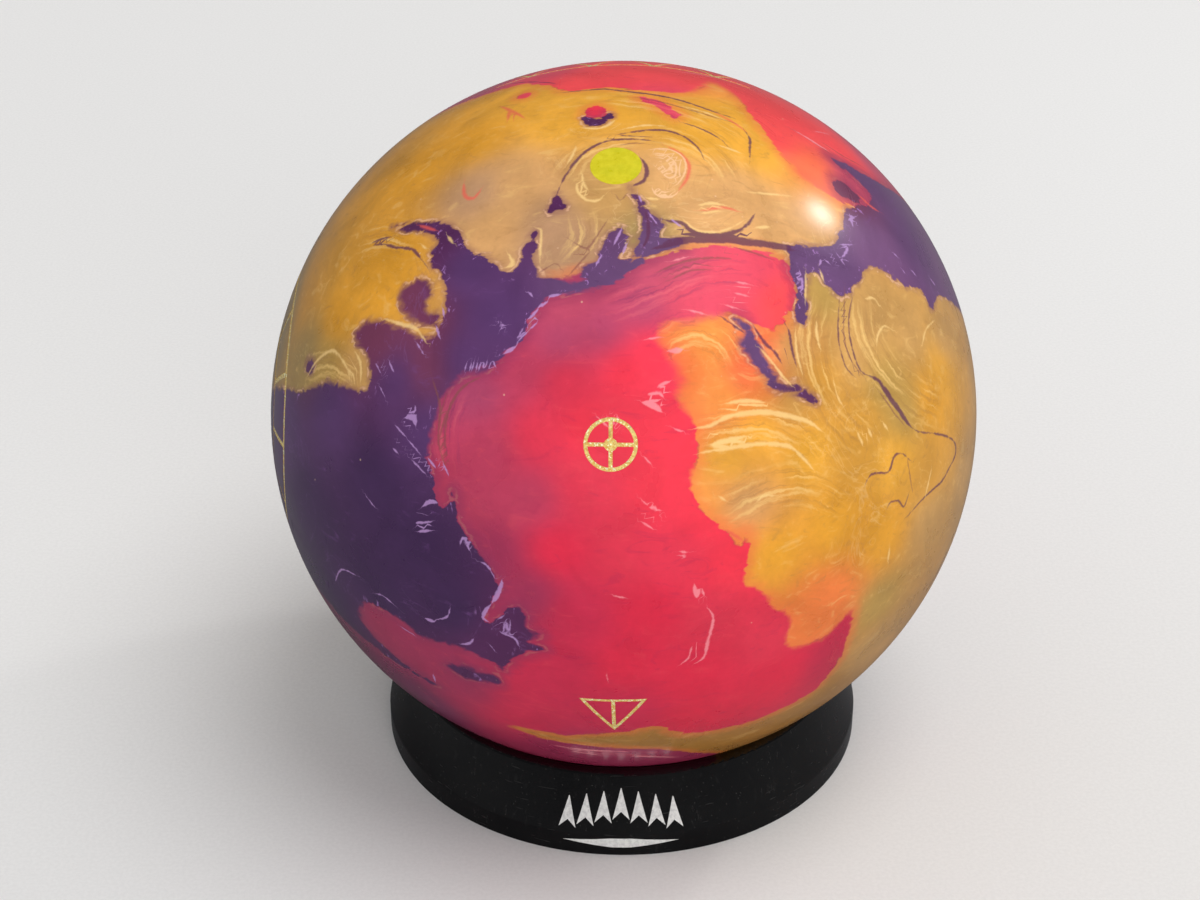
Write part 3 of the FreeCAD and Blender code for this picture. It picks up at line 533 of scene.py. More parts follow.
# Each layer: its lines, colour, strength, softness of the edge in mm, and how many mm thinner
# the lines get in worn places.
LINE_LAYERS = {
    "red_lines": (RED_LINES, (236, 92, 78), 0.70, 0.45, 0.0),
    "fine_dark_lines": (FINE_DARK_LINES, (132, 78, 74), 0.62, 0.28, 0.20),
    "dark_lines": (DARK_LINES, (96, 48, 80), 0.85, 0.32, 0.30),
    "pale_lines": (PALE_LINES, (250, 210, 138), 0.70, 0.38, 0.25),
    "swirl_lines": (SWIRL_LINES, (244, 196, 150), 0.80, 0.16, 0.0),
    "pink_lines": (PINK_LINES, (255, 156, 166), 0.66, 0.28, 0.22),
    "lilac_lines": (LILAC_LINES, (188, 146, 204), 0.74, 0.22, 0.25),
}


# ---------------------------------------------------------------- from outlines to smooth values

def unit(vectors):
    """The vectors, or the single vector, made one long."""
    return vectors / np.linalg.norm(vectors, axis=-1, keepdims=True)


def angles(vectors, centre):
    """Angles between unit vectors, in radians."""
    return np.arccos(np.clip(vectors @ centre, -1, 1))


def spline(points, closed, steps=6):
    """A Catmull-Rom curve on the unit sphere through the given directions."""
    ring = direction(points)
    if closed:
        ring = np.vstack([ring[-1:], ring, ring[:2]])
    else:
        ring = np.vstack([2 * ring[0] - ring[1], ring, 2 * ring[-1] - ring[-2]])
    t = np.linspace(0, 1, steps, endpoint=False)[:, None]
    spans = []
    for a, b, c, d in zip(ring[:-3], ring[1:-2], ring[2:-1], ring[3:]):
        spans.append(0.5 * (2 * b + (c - a) * t + (2 * a - 5 * b + 4 * c - d) * t ** 2
                            + (3 * b - a - 3 * c + d) * t ** 3))
    curve = np.vstack(spans + [ring[-2:-1]])
    return unit(curve)


def nearest_on(curve, points):
    """For each point: signed distance to the curve's left, distance along it, both in mm, and
    the plain distance. Points are unit vectors."""
    nearest = np.argmax(points.astype(np.float32) @ curve.T.astype(np.float32), axis=1)
    lengths = np.linalg.norm(np.diff(curve, axis=0), axis=1)
    start_along = np.concatenate([[0], np.cumsum(lengths)])
    best = np.full(len(points), np.inf)
    side = np.zeros(len(points))
    along = np.zeros(len(points))
    for step in (-1, 0):
        k = np.clip(nearest + step, 0, len(curve) - 2)
        a, b = curve[k], curve[k + 1]
        span = b - a
        size = np.maximum((span ** 2).sum(axis=1), 1e-12)
        t = np.clip(((points - a) * span).sum(axis=1) / size, 0, 1)
        gap = points - (a + span * t[:, None])
        far = np.linalg.norm(gap, axis=1)
        left = np.cross(a, span)
        closer = far < best
        best = np.where(closer, far, best)
        side = np.where(closer, np.sign((gap * left).sum(axis=1)), side)
        along = np.where(closer, start_along[k] + t * lengths[k], along)
    return side * best * RADIUS_MM, along * RADIUS_MM, best * RADIUS_MM


def chart(centre, vectors):
    """Flat positions about centre that keep distance and bearing from it."""
    east = unit(np.cross([0.0, 0.0, 1.0], centre))
    north = np.cross(centre, east)
    angle = angles(vectors, centre)
    flat = np.stack([vectors @ east, vectors @ north], axis=1)
    size = np.maximum(np.linalg.norm(flat, axis=1), 1e-9)
    return flat * (angle / size)[:, None], angle


def area_depth(outline, points):
    """How far inside the outline each point is, in mm, negative outside."""
    curve = spline(outline, closed=True, steps=4)
    centre = unit(curve.mean(axis=0))
    flat_curve, reach = chart(centre, curve)
    depth = np.full(len(points), -FAR)
    near = points @ centre > math.cos(min(math.pi, reach.max() + FAR / RADIUS_MM))
    flat, _ = chart(centre, points[near])
    inside = np.zeros(len(flat), dtype=bool)
    for (x0, y0), (x1, y1) in zip(flat_curve[:-1], flat_curve[1:]):
        if y0 != y1:
            crosses = (y0 > flat[:, 1]) != (y1 > flat[:, 1])
            inside ^= crosses & (flat[:, 0] < (x1 - x0) * (flat[:, 1] - y0) / (y1 - y0) + x0)
    _, _, gap = nearest_on(curve, points[near])
    gap = np.minimum(gap, FAR)
    depth[near] = np.where(inside, gap, -gap)
    return depth


def areas_depth(areas, points):
    return np.max([area_depth(outline, points) for outline in areas.values()], axis=0)


def lines_layer(lines, points, reach=2.6, nowhere=-3.0):
    """(offset, half width, distance along) in mm of the line that matters at each point. Where
    none is within reach, the half width is nowhere's."""
    layer = np.tile([FAR, nowhere, 0.0], (len(points), 1))
    score = np.full(len(points), np.inf)
    for width, places in lines:
        curve = spline(places, closed=False)
        centre = unit(curve.mean(axis=0))
        extent = angles(curve, centre).max() + reach / RADIUS_MM
        near = np.nonzero(points @ centre > math.cos(extent))[0]
        offset, along, gap = nearest_on(curve, points[near])
        length = along.max() + 1e-6
        taper = np.sin(np.pi * np.clip(along / length, 0.0, 1.0)) ** 0.5
        half = np.where(gap < reach, width * taper, nowhere)
        better = gap - half < score[near]
        score[near[better]] = (gap - half)[better]
        layer[near[better]] = np.stack([offset, half, along], axis=1)[better]
    return layer


def bundles_layer(bundles, points):
    """(offset, strength, distance along) of the streak bundle that is strongest at each point."""
    layer = np.zeros((len(points), 3))
    for width, places in bundles:
        curve = spline(places, closed=False)
        offset, along, gap = nearest_on(curve, points)
        length = along.max() + 1e-6
        ends = np.clip(np.minimum(along, length - along) / width, 0, 1)
        strength = np.clip(1 - (gap / width) ** 2, 0, 1) * ends
        better = strength > layer[:, 1]
        layer[better] = np.stack([offset, strength, along], axis=1)[better]
    return layer


def blended(notes, points, softness=3.5):
    """Colours between notes of (colour, places), nearer places counting for more."""
    total = np.zeros((len(points), 3))
    weights = np.zeros((len(points), 1))
    for colour, places in notes:
        angle = np.degrees(angles(points, direction(places).T))
        weight = (1 / (angle ** 2 + softness ** 2) ** 2).sum(axis=1)[:, None]
        total += weight * np.array(srgb(*colour))
        weights += weight
    return total / weights


def patches(spots, points):
    """A sum of soft round patches of (longitude, latitude, radius in degrees, amount)."""
    total = np.zeros(len(points))
    for lon, lat, radius, amount in spots:
        angle = np.degrees(angles(points, direction([(lon, lat)])[0]))
        total += amount * np.exp(-(angle / radius) ** 2)
    return total


# ---------------------------------------------------------------- meshes

def new_object(name, mesh):
    thing = bpy.data.objects.new(name, mesh)
    bpy.context.scene.collection.objects.link(thing)
    return thing


def six_faced_sphere(cells, radius, inward=False):
    """Points and quads of a sphere made of six square faces with evenly turned rows."""
    turn = np.tan(np.linspace(-math.pi / 4, math.pi / 4, cells + 1))
    u, v = np.meshgrid(turn, turn, indexing="ij")
    one = np.ones_like(u)
    sheets = [(u, v, one), (v, u, -one), (one, u, v), (-one, v, u), (v, one, u), (u, -one, v)]
    row = np.arange(cells)[:, None] * (cells + 1) + np.arange(cells)[None, :]
    corners = np.stack([row, row + cells + 1, row + cells + 2, row + 1], axis=-1).reshape(-1, 4)
    points, quads = [], []
    for k, sheet in enumerate(sheets):
        points.append(np.stack(sheet, axis=-1).reshape(-1, 3))
        quads.append(corners + k * (cells + 1) ** 2)
    points = unit(np.vstack(points))
    _, first, same = np.unique(np.round(points, 7), axis=0, return_index=True,
                               return_inverse=True)
    quads = same.reshape(-1)[np.vstack(quads)]
    if inward:
        quads = quads[:, ::-1]
    return BALL_CENTRE + points[first] * radius, quads


def engraving_cutter(node):
    """A copy of a fill, or of the pin, whose outer face stands clear of the ball."""
    cutter = new_object(node + "_cutter", frame["nodes"][node].data.copy())
    points = mesh_points(cutter.data) - BALL_CENTRE
    reach = np.linalg.norm(points, axis=1)
    outer = reach > BALL_RADIUS - FACE_BAND
    points[outer] *= ((BALL_RADIUS + CUT_CLEAR) / reach[outer])[:, None]
    cutter.data.vertices.foreach_set("co", (points + BALL_CENTRE).ravel())
    weld(cutter.data)
    return cutter


def weld(mesh):
    work = bmesh.new()
    work.from_mesh(mesh)
    bmesh.ops.remove_doubles(work, verts=work.verts, dist=WELD_GAP)
    bmesh.ops.recalc_face_normals(work, faces=work.faces)
    work.to_mesh(mesh)
    work.free()


def ball_shell():
    """The coverstock: a fine outer face, a coarse inner one, cut for the pin and the marks."""
    inner_radius = max(
        np.linalg.norm(mesh_points(frame["nodes"]["outer_core"].data) - BALL_CENTRE, axis=1))
    outer_points, outer_quads = six_faced_sphere(FACE_CELLS, BALL_RADIUS)
    inner_points, inner_quads = six_faced_sphere(INNER_CELLS, inner_radius, inward=True)
    mesh = bpy.data.meshes.new("cover_skin")
    quads = np.vstack([outer_quads, inner_quads + len(outer_points)])
    mesh.from_pydata(np.vstack([outer_points, inner_points]).tolist(), [], quads.tolist())
    shell = new_object("cover_skin", mesh)
    for node in CUT_NODES:
        cut = shell.modifiers.new(node, "BOOLEAN")
        cut.operation = "DIFFERENCE"
        cut.solver = "EXACT"
        cut.object = engraving_cutter(node)
    bpy.context.view_layer.update()
    finished = bpy.data.meshes.new_from_object(
        shell.evaluated_get(bpy.context.evaluated_depsgraph_get()))
    shell.modifiers.clear()
    shell.data = finished
    for node in CUT_NODES:
        bpy.data.objects.remove(bpy.data.objects[node + "_cutter"])
    return shell


def loop_values(mesh):
    """Each face corner's vertex number and its face's flat normal."""
    corner = np.empty(len(mesh.loops), dtype=int)
    mesh.loops.foreach_get("vertex_index", corner)
    counts = np.empty(len(mesh.polygons), dtype=int)
    mesh.polygons.foreach_get("loop_total", counts)
    flat = np.empty(len(mesh.polygons) * 3)
    mesh.polygons.foreach_get("normal", flat)
    return corner, np.repeat(flat.reshape(-1, 3), counts, axis=0)


def round_normals(thing):
    """The shell's two faces are shaded as true spheres, and the walls of its cuts as they are."""
    mesh = thing.data
    points = mesh_points(mesh) - BALL_CENTRE
    reach = np.linalg.norm(points, axis=1)
    corner, flat = loop_values(mesh)
    radial = (points / reach[:, None])[corner]
    outward = (flat * radial).sum(axis=1)
    on_skin = (reach[corner] > BALL_RADIUS - SKIN_SLACK) & (outward > FACES_OUT)
    on_inside = outward < FACES_IN
    normals = np.where(on_skin[:, None], radial, flat)
    normals = np.where(on_inside[:, None], -radial, normals)
    shade_smooth(mesh)
    mesh.normals_split_custom_set(normals.tolist())


def shade_smooth(mesh):
    mesh.polygons.foreach_set("use_smooth", np.ones(len(mesh.polygons), dtype=bool))


def put(mesh, name, values):
    """Stores one value, or three, for each point of the mesh."""
    values = np.asarray(values, dtype=np.float32)
    kind, field = ("FLOAT", "value") if values.ndim == 1 else ("FLOAT_VECTOR", "vector")
    mesh.attributes.new(name, kind, "POINT").data.foreach_set(field, values.ravel())


def paint(thing):
    """Gives the skin its layout of colours, areas and lines."""
    mesh = thing.data
    points = unit(mesh_points(mesh) - BALL_CENTRE)
    for name, (notes, areas, *_) in RESINS.items():
        put(mesh, name + "_colour", blended(notes, points))
        if areas:
            put(mesh, name + "_depth", areas_depth(areas, points))
    for name, (lines, *_) in LINE_LAYERS.items():
        put(mesh, name, lines_layer(lines, points))
    put(mesh, "bundle", bundles_layer(STREAK_BUNDLES, points))
    put(mesh, "blur", patches(BLURRED, points))
    put(mesh, "far", np.clip(EDGE_FAR - points @ TOWARDS * FAR_RISE, 0, 1))


# ---------------------------------------------------------------- node materials

class Graph:
    """A material and short ways to add nodes to it. Values are numbers or sockets."""

    def __init__(self, name):
        self.material = bpy.data.materials.new(name)
        self.material.use_nodes = True
        self.nodes = self.material.node_tree.nodes
        self.links = self.material.node_tree.links
        self.place = self.stretched(self.node("ShaderNodeTexCoord", {}, "Object"), [1 / MM] * 3)

    def feed(self, socket, value):
        if isinstance(value, bpy.types.NodeSocket):
            self.links.new(value, socket)
        elif hasattr(socket.default_value, "__len__") and len(socket.default_value) == 4:
            socket.default_value = (*value[:3], 1)
        else:
            socket.default_value = value

    def node(self, kind, values, output=0, **settings):
        """Adds a node, feeds its inputs by name or number, and gives one of its outputs."""
        node = self.nodes.new(kind)
        for key, value in settings.items():
            setattr(node, key, value)
        for key, value in values.items():
            self.feed(node.inputs[key], value)
        return node.outputs[output]

    def math(self, operation, a, b=0.0):
        return self.node("ShaderNodeMath", {0: a, 1: b}, operation=operation)

    def plus(self, a, b):
        return self.math("ADD", a, b)

    def minus(self, a, b):
        return self.math("SUBTRACT", a, b)

    def times(self, a, b):
        return self.math("MULTIPLY", a, b)

    def apart(self, a, b):
        """How far apart two values are."""
        return self.math("ABSOLUTE", self.minus(a, b))

    def stretched(self, vector, factors):
        return self.node("ShaderNodeVectorMath", {0: vector, 1: factors}, operation="MULTIPLY")

    def stored(self, name, output="Fac"):
        """What paint() put into the mesh under that name."""
        return self.node("ShaderNodeAttribute", {}, output, attribute_name=name)

    def parts(self, vector):
        return [self.node("ShaderNodeSeparateXYZ", {0: vector}, axis) for axis in "XYZ"]

    def joined(self, x, y, z):
        return self.node("ShaderNodeCombineXYZ", {"X": x, "Y": y, "Z": z})

    def noise(self, per_mm, detail=3.0, roughness=0.5, stretch=(1.0, 1.0, 1.0), distortion=0.0,
              place=None):
        """Noise whose features are about 1 / per_mm across."""
        return self.node("ShaderNodeTexNoise", {
            "Vector": self.stretched(place or self.place, stretch), "Scale": per_mm,
            "Detail": detail, "Roughness": roughness, "Distortion": distortion}, "Fac")

    def swing(self, *settings):
        """Noise less its middle value, so that it goes both ways."""
        return self.minus(self.noise(*settings), 0.5)

    def cells(self, per_mm, output="Distance"):
        return self.node("ShaderNodeTexVoronoi", {"Vector": self.place, "Scale": per_mm}, output)

    def fade(self, value, low, high, to_low=0.0, to_high=1.0):
        """Smooth step of value between low and high."""
        return self.node("ShaderNodeMapRange", {
            "Value": value, "From Min": low, "From Max": high, "To Min": to_low,
            "To Max": to_high}, "Result", interpolation_type="SMOOTHSTEP")

    def specks(self, per_mm, edge, core):
        """1 in round specks, out to core, fading to 0 at edge."""
        return self.fade(self.cells(per_mm), edge, core)

    def mix(self, factor, a, b, blend="MIX"):
        return self.node("ShaderNodeMix", {0: factor, 6: a, 7: b}, 2, data_type="RGBA",
                         blend_type=blend)

    def between(self, factor, first, second):
        """From the first (red, green, blue) to the second as the factor goes from 0 to 1."""
        return self.mix(factor, srgb(*first), srgb(*second))

    def stained(self, colour, mask, amount, stain):
        """The colour with a stain of (red, green, blue) where the mask is."""
        return self.mix(self.times(mask, amount), colour, srgb(*stain))

    def lighter(self, colour, factor):
        """The colour times a value."""
        return self.mix(1.0, colour, self.joined(factor, factor, factor), "MULTIPLY")

    def bump(self, height, strength, distance_mm=0.1):
        return self.node("ShaderNodeBump", {
            "Height": height, "Strength": strength, "Distance": distance_mm * MM}, "Normal")

    def finish(self, **values):
        """Feeds the surface shader, with underscores in place of spaces in its inputs' names."""
        for name, value in values.items():
            self.feed(self.nodes["Principled BSDF"].inputs[name.replace("_", " ")], value)
        return self.material


def line_mask(g, layer, wobble, soft, worn):
    """1 on a layer's lines and 0 off them, thinner by worn mm in some places."""
    offset, half, _ = g.parts(g.stored(layer, "Vector"))
    gap = g.math("ABSOLUTE", g.plus(offset, wobble))
    thinner = g.times(g.fade(g.noise(0.35, 2.0), 0.45, 0.7), worn)
    inside = g.minus(g.minus(half, thinner), gap)
    return g.fade(inside, -soft, soft)


def pour_marks(g, warp, far):
    """Masks of the marks that the pour leaves in a resin."""
    brushed = g.noise(0.22, 4.0, 0.6, (0.35, 1.0, 1.0), 1.4)
    wisps = g.noise(0.10, 5.0, 0.62, (1.0, 1.0, 3.2), 1.2)

    # fine streaks that follow the pour
    offset, strength, along = g.parts(g.stored("bundle", "Vector"))
    swept = g.joined(g.plus(offset, g.times(warp, 2.6)), g.times(along, 0.05), 0.0)
    streak = g.noise(0.58, 2.5, 0.55, place=swept)

    # veins where the pour folded over itself, in some places only
    flow = g.noise(0.040, 4.0, 0.55, distortion=2.4)
    some = g.fade(g.noise(0.032, 2.0, 0.5), 0.50, 0.66, 0.0, 0.4)
    folded = g.math("MAXIMUM", some, g.times(far, 0.8))
    return {
        "light_brush": g.fade(brushed, 0.54, 0.74),
        "dark_brush": g.fade(brushed, 0.44, 0.26),
        "wisps": g.fade(wisps, 0.58, 0.78),
        "light_streak": g.times(g.fade(streak, 0.50, 0.68), strength),
        "dark_streak": g.times(g.fade(streak, 0.48, 0.34), strength),
        "light_vein": g.times(folded, g.fade(g.apart(flow, 0.53), 0.012, 0.002)),
        "dark_vein": g.times(folded, g.fade(g.apart(flow, 0.47), 0.012, 0.001)),
    }


def resin(g, name, cloud, marks):
    """One resin's colour: its palette, clouded and mottled, with the marks of the pour in it."""
    _, _, cloudy, mottled, tint, shown = RESINS[name]
    colour = g.stored(name + "_colour", "Color")
    colour = g.lighter(colour, g.fade(cloud, 0.25, 0.75, *cloudy))
    colour = g.lighter(colour, g.fade(g.noise(0.6, 4.0, 0.65), 0.2, 0.8, *mottled))
    colour = g.mix(1.0, colour, tint, "MULTIPLY")
    for mark, amount, stain in shown:
        colour = g.stained(colour, marks[mark], amount, stain)
    return colour


def depth(g, name, edge, folds, most, far):
    """How deep in a resin's areas a place is, in mm. On the far side it is left to chance."""
    chance = g.times(g.fade(folds, 0.32, 0.68, -17.0, most), far)
    return g.plus(g.stored(name + "_depth"), g.plus(edge, chance))


def marbled_resin():
    """Gold, red and purple resins poured together, under a clear polish."""
    g = Graph("marbled_resin")
    far = g.stored("far")
    cloud = g.noise(0.045, 4.0, 0.6, distortion=0.6)
    warp = g.swing(0.30, 4.0, 0.6)
    fine_warp = g.swing(1.1, 3.0, 0.6)
    feather = g.swing(0.30, 2.5, 0.5, (0.25, 0.8, 0.8), 1.2)
    edge = g.plus(g.times(warp, 1.8), g.plus(g.times(feather, 4.0), g.times(fine_warp, 0.45)))
    folds = g.noise(0.014, 4.0, 0.5, distortion=1.8)
    other_folds = g.noise(0.013, 4.0, 0.5, (-1.0, 1.2, 0.8), 2.2)
    red_depth = depth(g, "red", edge, folds, 17.0, far)
    purple_depth = depth(g, "purple", edge, other_folds, 18.0, far)
    blur = g.plus(g.stored("blur"), 0.26)
    in_red = g.fade(red_depth, g.times(blur, -1.0), blur)
    in_purple = g.fade(purple_depth, g.times(blur, -1.0), blur)

    # near an edge each resin takes on some of the other
    marks = pour_marks(g, warp, far)
    gold, red, purple = (resin(g, name, cloud, marks) for name in RESINS)
    gold = g.stained(gold, g.fade(red_depth, -4.5, 0.0), 0.45, (240, 118, 62))
    gold = g.stained(gold, g.fade(purple_depth, -2.2, 0.0), 0.5, (136, 84, 86))
    red = g.stained(red, g.fade(purple_depth, -5.0, 0.0), 0.55, (140, 48, 88))
    colour = g.mix(in_red, gold, red)

    # a darker seam, here and there, where red meets gold
    seam = g.times(g.fade(g.apart(red_depth, 0.0), 0.5, 0.1),
                   g.fade(g.noise(0.12, 2.0), 0.52, 0.66))
    colour = g.stained(colour, seam, 0.30, (140, 60, 62))

    # a pale seam on the gold just outside the purple, and lilac flecks inside it
    broken = g.fade(g.noise(0.22, 3.0), 0.46, 0.60)
    outside = g.fade(g.apart(purple_depth, -0.8), 0.55, 0.1)
    on_gold = g.minus(0.55, g.times(in_red, 0.45))
    colour = g.stained(colour, g.times(outside, broken), on_gold, (240, 190, 150))
    colour = g.mix(in_purple, colour, purple)
    ticks = g.noise(0.75, 3.0, 0.55, (1.0, 1.0, 0.30), 0.5)
    rim = g.times(g.fade(purple_depth, 0.1, 0.5), g.fade(purple_depth, 3.6, 1.0))
    fleck = g.times(g.times(g.fade(ticks, 0.60, 0.66), rim), broken)
    colour = g.stained(colour, fleck, 0.62, (178, 128, 196))

    wobble = g.times(fine_warp, 0.6)
    for layer, (_, tint, amount, soft, worn) in LINE_LAYERS.items():
        mask = line_mask(g, layer, wobble, soft, worn)
        colour = g.stained(colour, mask, amount, tint)

    # specks of dust under the polish, and hairline marks in it
    dust = g.times(g.specks(0.16, 0.065, 0.03), g.fade(g.noise(0.10, 1.0), 0.55, 0.6))
    colour = g.stained(colour, dust, 0.35, (250, 215, 180))
    hair = g.fade(g.noise(0.9, 2.0, 0.5, (1.0, 0.06, 0.12)), 0.70, 0.76)
    rough = g.plus(g.fade(cloud, 0.3, 0.7, 0.26, 0.34), g.times(hair, 0.10))
    peel = g.bump(g.noise(0.35, 2.0), 0.05)
    return g.finish(
        Base_Color=colour, Roughness=rough, Coat_Weight=0.38, Coat_Roughness=0.20,
        Coat_IOR=1.5, Coat_Normal=peel, Normal=peel, Specular_IOR_Level=0.35)


def gold_fill():
    """Gold paint with coarse flakes that differ in shade, shine and tilt, and a painted highlight on
    some.
    """
    g = Graph("gold_fill")
    level, painted_glint, _ = g.parts(g.cells(2.6, "Color"))
    colour = g.between(g.fade(level, 0.1, 0.8), (214, 170, 74), (250, 226, 140))
    # some flakes are painted near white: a painted highlight, as if they caught the light
    colour = g.stained(colour, g.fade(painted_glint, 0.80, 0.90), 1.0, (248, 250, 200))
    colour = g.stained(colour, g.fade(g.noise(0.7, 3.0), 0.58, 0.74), 0.4, (140, 100, 44))
    tilt = g.bump(g.plus(level, g.noise(2.0, 3.0)), 0.55, 0.12)
    return g.finish(
        Base_Color=colour, Metallic=g.fade(level, 0.4, 0.95, 0.0, 0.3), Normal=tilt,
        Roughness=g.fade(level, 0.1, 0.9, 0.42, 0.22), Coat_Weight=0.3, Coat_Roughness=0.15)


def pin_resin():
    """Yellow-green resin with faint mottling and some duller patches."""
    g = Graph("pin_resin")
    mottle = g.noise(0.5, 4.0, 0.6)
    colour = g.between(g.fade(mottle, 0.3, 0.7), (204, 192, 20), (218, 206, 36))
    colour = g.stained(colour, g.fade(g.noise(0.16, 2.0, 0.5), 0.5, 0.75), 0.35, (188, 190, 26))
    return g.finish(
        Base_Color=colour, Roughness=g.fade(mottle, 0.2, 0.8, 0.26, 0.36), Coat_Weight=0.5,
        Coat_Roughness=0.12, Normal=g.bump(mottle, 0.04))


def cast_resin(name, dark, light, grain):
    """Filled resin as it comes from the mould: grainy and full of small pores."""
    g = Graph(name)
    body = g.noise(grain, 5.0, 0.65)
    pores = g.specks(grain * 2.2, 0.16, 0.05)
    colour = g.between(g.fade(body, 0.3, 0.7), dark, light)
    # the pores are painted darker than the resin: painted shade in the small hollows
    pore_shade = tuple(0.35 * c for c in srgb(*dark))
    colour = g.mix(g.times(pores, 0.6), colour, pore_shade)
    return g.finish(
        Base_Color=colour, Roughness=g.fade(body, 0.2, 0.8, 0.55, 0.8),
        Normal=g.bump(g.minus(body, pores), 0.4, 0.3))


def cup_plastic():
    """Black moulded plastic: glossy, faintly wavy, with dust, scuffs and hairline scratches."""
    g = Graph("cup_plastic")
    cloud = g.fade(g.noise(0.05, 4.0, 0.6), 0.3, 0.7)
    scuff = g.fade(g.noise(0.5, 4.0, 0.7, (1.0, 1.0, 0.25)), 0.56, 0.74)
    scratch = g.fade(g.noise(0.8, 2.0, 0.5, (0.08, 0.3, 1.6)), 0.68, 0.73)
    wear = g.math("MAXIMUM", g.times(scuff, 0.6), scratch)
    colour = g.between(cloud, (7, 7, 8), (15, 15, 15))
    colour = g.stained(colour, wear, 0.35, (62, 61, 60))
    colour = g.stained(colour, g.specks(0.55, 0.10, 0.04), 0.30, (120, 118, 112))
    rough = g.plus(g.plus(0.12, g.times(cloud, 0.10)), g.times(wear, 0.25))
    waves = g.plus(g.noise(0.06, 2.0), g.times(g.noise(1.6, 3.0), 0.05))
    return g.finish(Base_Color=colour, Roughness=rough, Specular_IOR_Level=0.5,
                    Normal=g.bump(waves, 0.25, 0.3))


def white_ink():
    """Screen-printed white, slightly thin and worn."""
    g = Graph("white_ink")
    thin = g.noise(0.9, 4.0, 0.65)
    colour = g.between(g.fade(thin, 0.35, 0.7), (226, 226, 222), (196, 196, 194))
    colour = g.stained(colour, g.specks(0.9, 0.10, 0.04), 0.6, (70, 70, 70))
    return g.finish(Base_Color=colour, Roughness=g.fade(thin, 0.2, 0.8, 0.35, 0.5),
                    Normal=g.bump(thin, 0.15))


def floor_paper():
    """Plain paper with a faint grain: pale to the camera and darker in reflections."""
    g = Graph("floor_paper")
    height = g.noise(0.8, 4.0, 0.6)
    grain = g.fade(height, 0.3, 0.7)
    lit = g.between(grain, (198, 197, 195), (204, 203, 201))
    seen = g.between(grain, (224, 223, 221), (229, 228, 226))
    shade = g.between(grain, (112, 112, 114), (118, 118, 120))
    colour = g.mix(g.node("ShaderNodeLightPath", {}, "Is Glossy Ray"), lit, shade)
    colour = g.mix(g.node("ShaderNodeLightPath", {}, "Is Camera Ray"), colour, seen)
    return g.finish(Base_Color=colour, Roughness=0.75, Specular_IOR_Level=0.2,
                    Normal=g.bump(height, 0.06))


# ---------------------------------------------------------------- the print on the cup

POINTERS = 7
POINTER_PITCH = 5.6 * MM
POINTER_WIDTH = 5.4 * MM
POINTER_HEIGHT = 9.6 * MM
POINTER_TIP = 0.04                 # its width there, as a share of its foot's
POINTER_NOTCH = 2.4 * MM
MIDDLE_FOOT = 12.2 * MM            # the middle pointer's height up the wall
FOOT_STEP = 1.1 * MM               # and how much lower each further one stands
STRIPE_FOOT = 3.0 * MM
STRIPE_HEIGHT = 3.4 * MM
STRIPE_HALF = 18 * MM              # half its length, at the middle of its height
STRIPE_TAPER = 15 * MM             # and how much shorter it is at its edges
INK_LIFT = 0.06 * MM


def wall_of(node):
    """A function that gives the point of the node's outer wall at a distance across from the
    front and a height, lifted by the ink."""
    tree = BVHTree.FromObject(frame["nodes"][node], bpy.context.evaluated_depsgraph_get())
    low, high = (Vector(corner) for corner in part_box(node))
    reach = high.x

    def on_wall(across, height):
        angle = across / reach
        out = Vector((math.sin(angle), -math.cos(angle), 0))
        start = out * reach * 2 + Vector((0, 0, low.z + height))
        spot, normal, _, _ = tree.ray_cast(start, -out)
        return spot + normal * INK_LIFT
    return on_wall


def patch(work, on_wall, outline, rows, columns, notch=0.0):
    """Adds a sheet between outline(v) = (left, right, height) for v from 0 to 1, whose foot
    rises by notch in the middle."""
    grid = []
    for r in range(rows + 1):
        left, right, height = outline(r / rows)
        row = []
        for c in range(columns + 1):
            rise = notch * (1 - abs(2 * c / columns - 1)) * (1 - r / rows)
            row.append(work.verts.new(
                on_wall(left + (right - left) * c / columns, height + rise)))
        grid.append(row)
    for below, above in zip(grid, grid[1:]):
        for c in range(columns):
            work.faces.new((below[c], below[c + 1], above[c + 1], above[c]))


def pointer(k):
    """The outline of the pointer k places right of the middle one."""
    def outline(v):
        half = POINTER_WIDTH / 2 * (1 - (1 - POINTER_TIP) * v)
        foot = MIDDLE_FOOT - abs(k) * FOOT_STEP
        return k * POINTER_PITCH - half, k * POINTER_PITCH + half, foot + POINTER_HEIGHT * v
    return outline


def stripe(v):
    half = STRIPE_HALF - STRIPE_TAPER * abs(2 * v - 1)
    return -half, half, STRIPE_FOOT + STRIPE_HEIGHT * v


def cup_print():
    """A row of pointers, as on a lane, over a long tapered stripe, lying on the cup's wall."""
    work = bmesh.new()
    on_wall = wall_of("ball_cup")
    for k in range(POINTERS):
        patch(work, on_wall, pointer(k - POINTERS // 2), rows=8, columns=6, notch=POINTER_NOTCH)
    patch(work, on_wall, stripe, rows=6, columns=30)
    mesh = bpy.data.meshes.new("cup_print")
    work.to_mesh(mesh)
    work.free()
    shade_smooth(mesh)
    piece = new_object("cup_print", mesh)
    mesh.materials.append(white_ink())
    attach(piece, "cup")


# ---------------------------------------------------------------- the object

def dress(thing, material):
    """The thing keeps its shape and gets a better material."""
    thing.data.materials.clear()
    thing.data.materials.append(material)


def ball():
    shell = ball_shell()
    round_normals(shell)
    paint(shell)
    dress(shell, marbled_resin())
    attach(shell, "ball")
    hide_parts("coverstock")
    nodes = frame["nodes"]
    gold = gold_fill()
    for node in FILL_NODES:
        dress(nodes[node], gold)
    dress(nodes["locating_pin"], pin_resin())
    for node, name, dark, light, grain in (
            ("outer_core", "filler", (168, 160, 146), (204, 197, 182), 0.5),
            ("weight_block", "dense_core", (128, 46, 34), (168, 70, 50), 0.7),
            ("flip_block", "densest_core", (34, 52, 96), (58, 80, 132), 0.7)):
        dress(nodes[node], cast_resin(name, dark, light, grain))


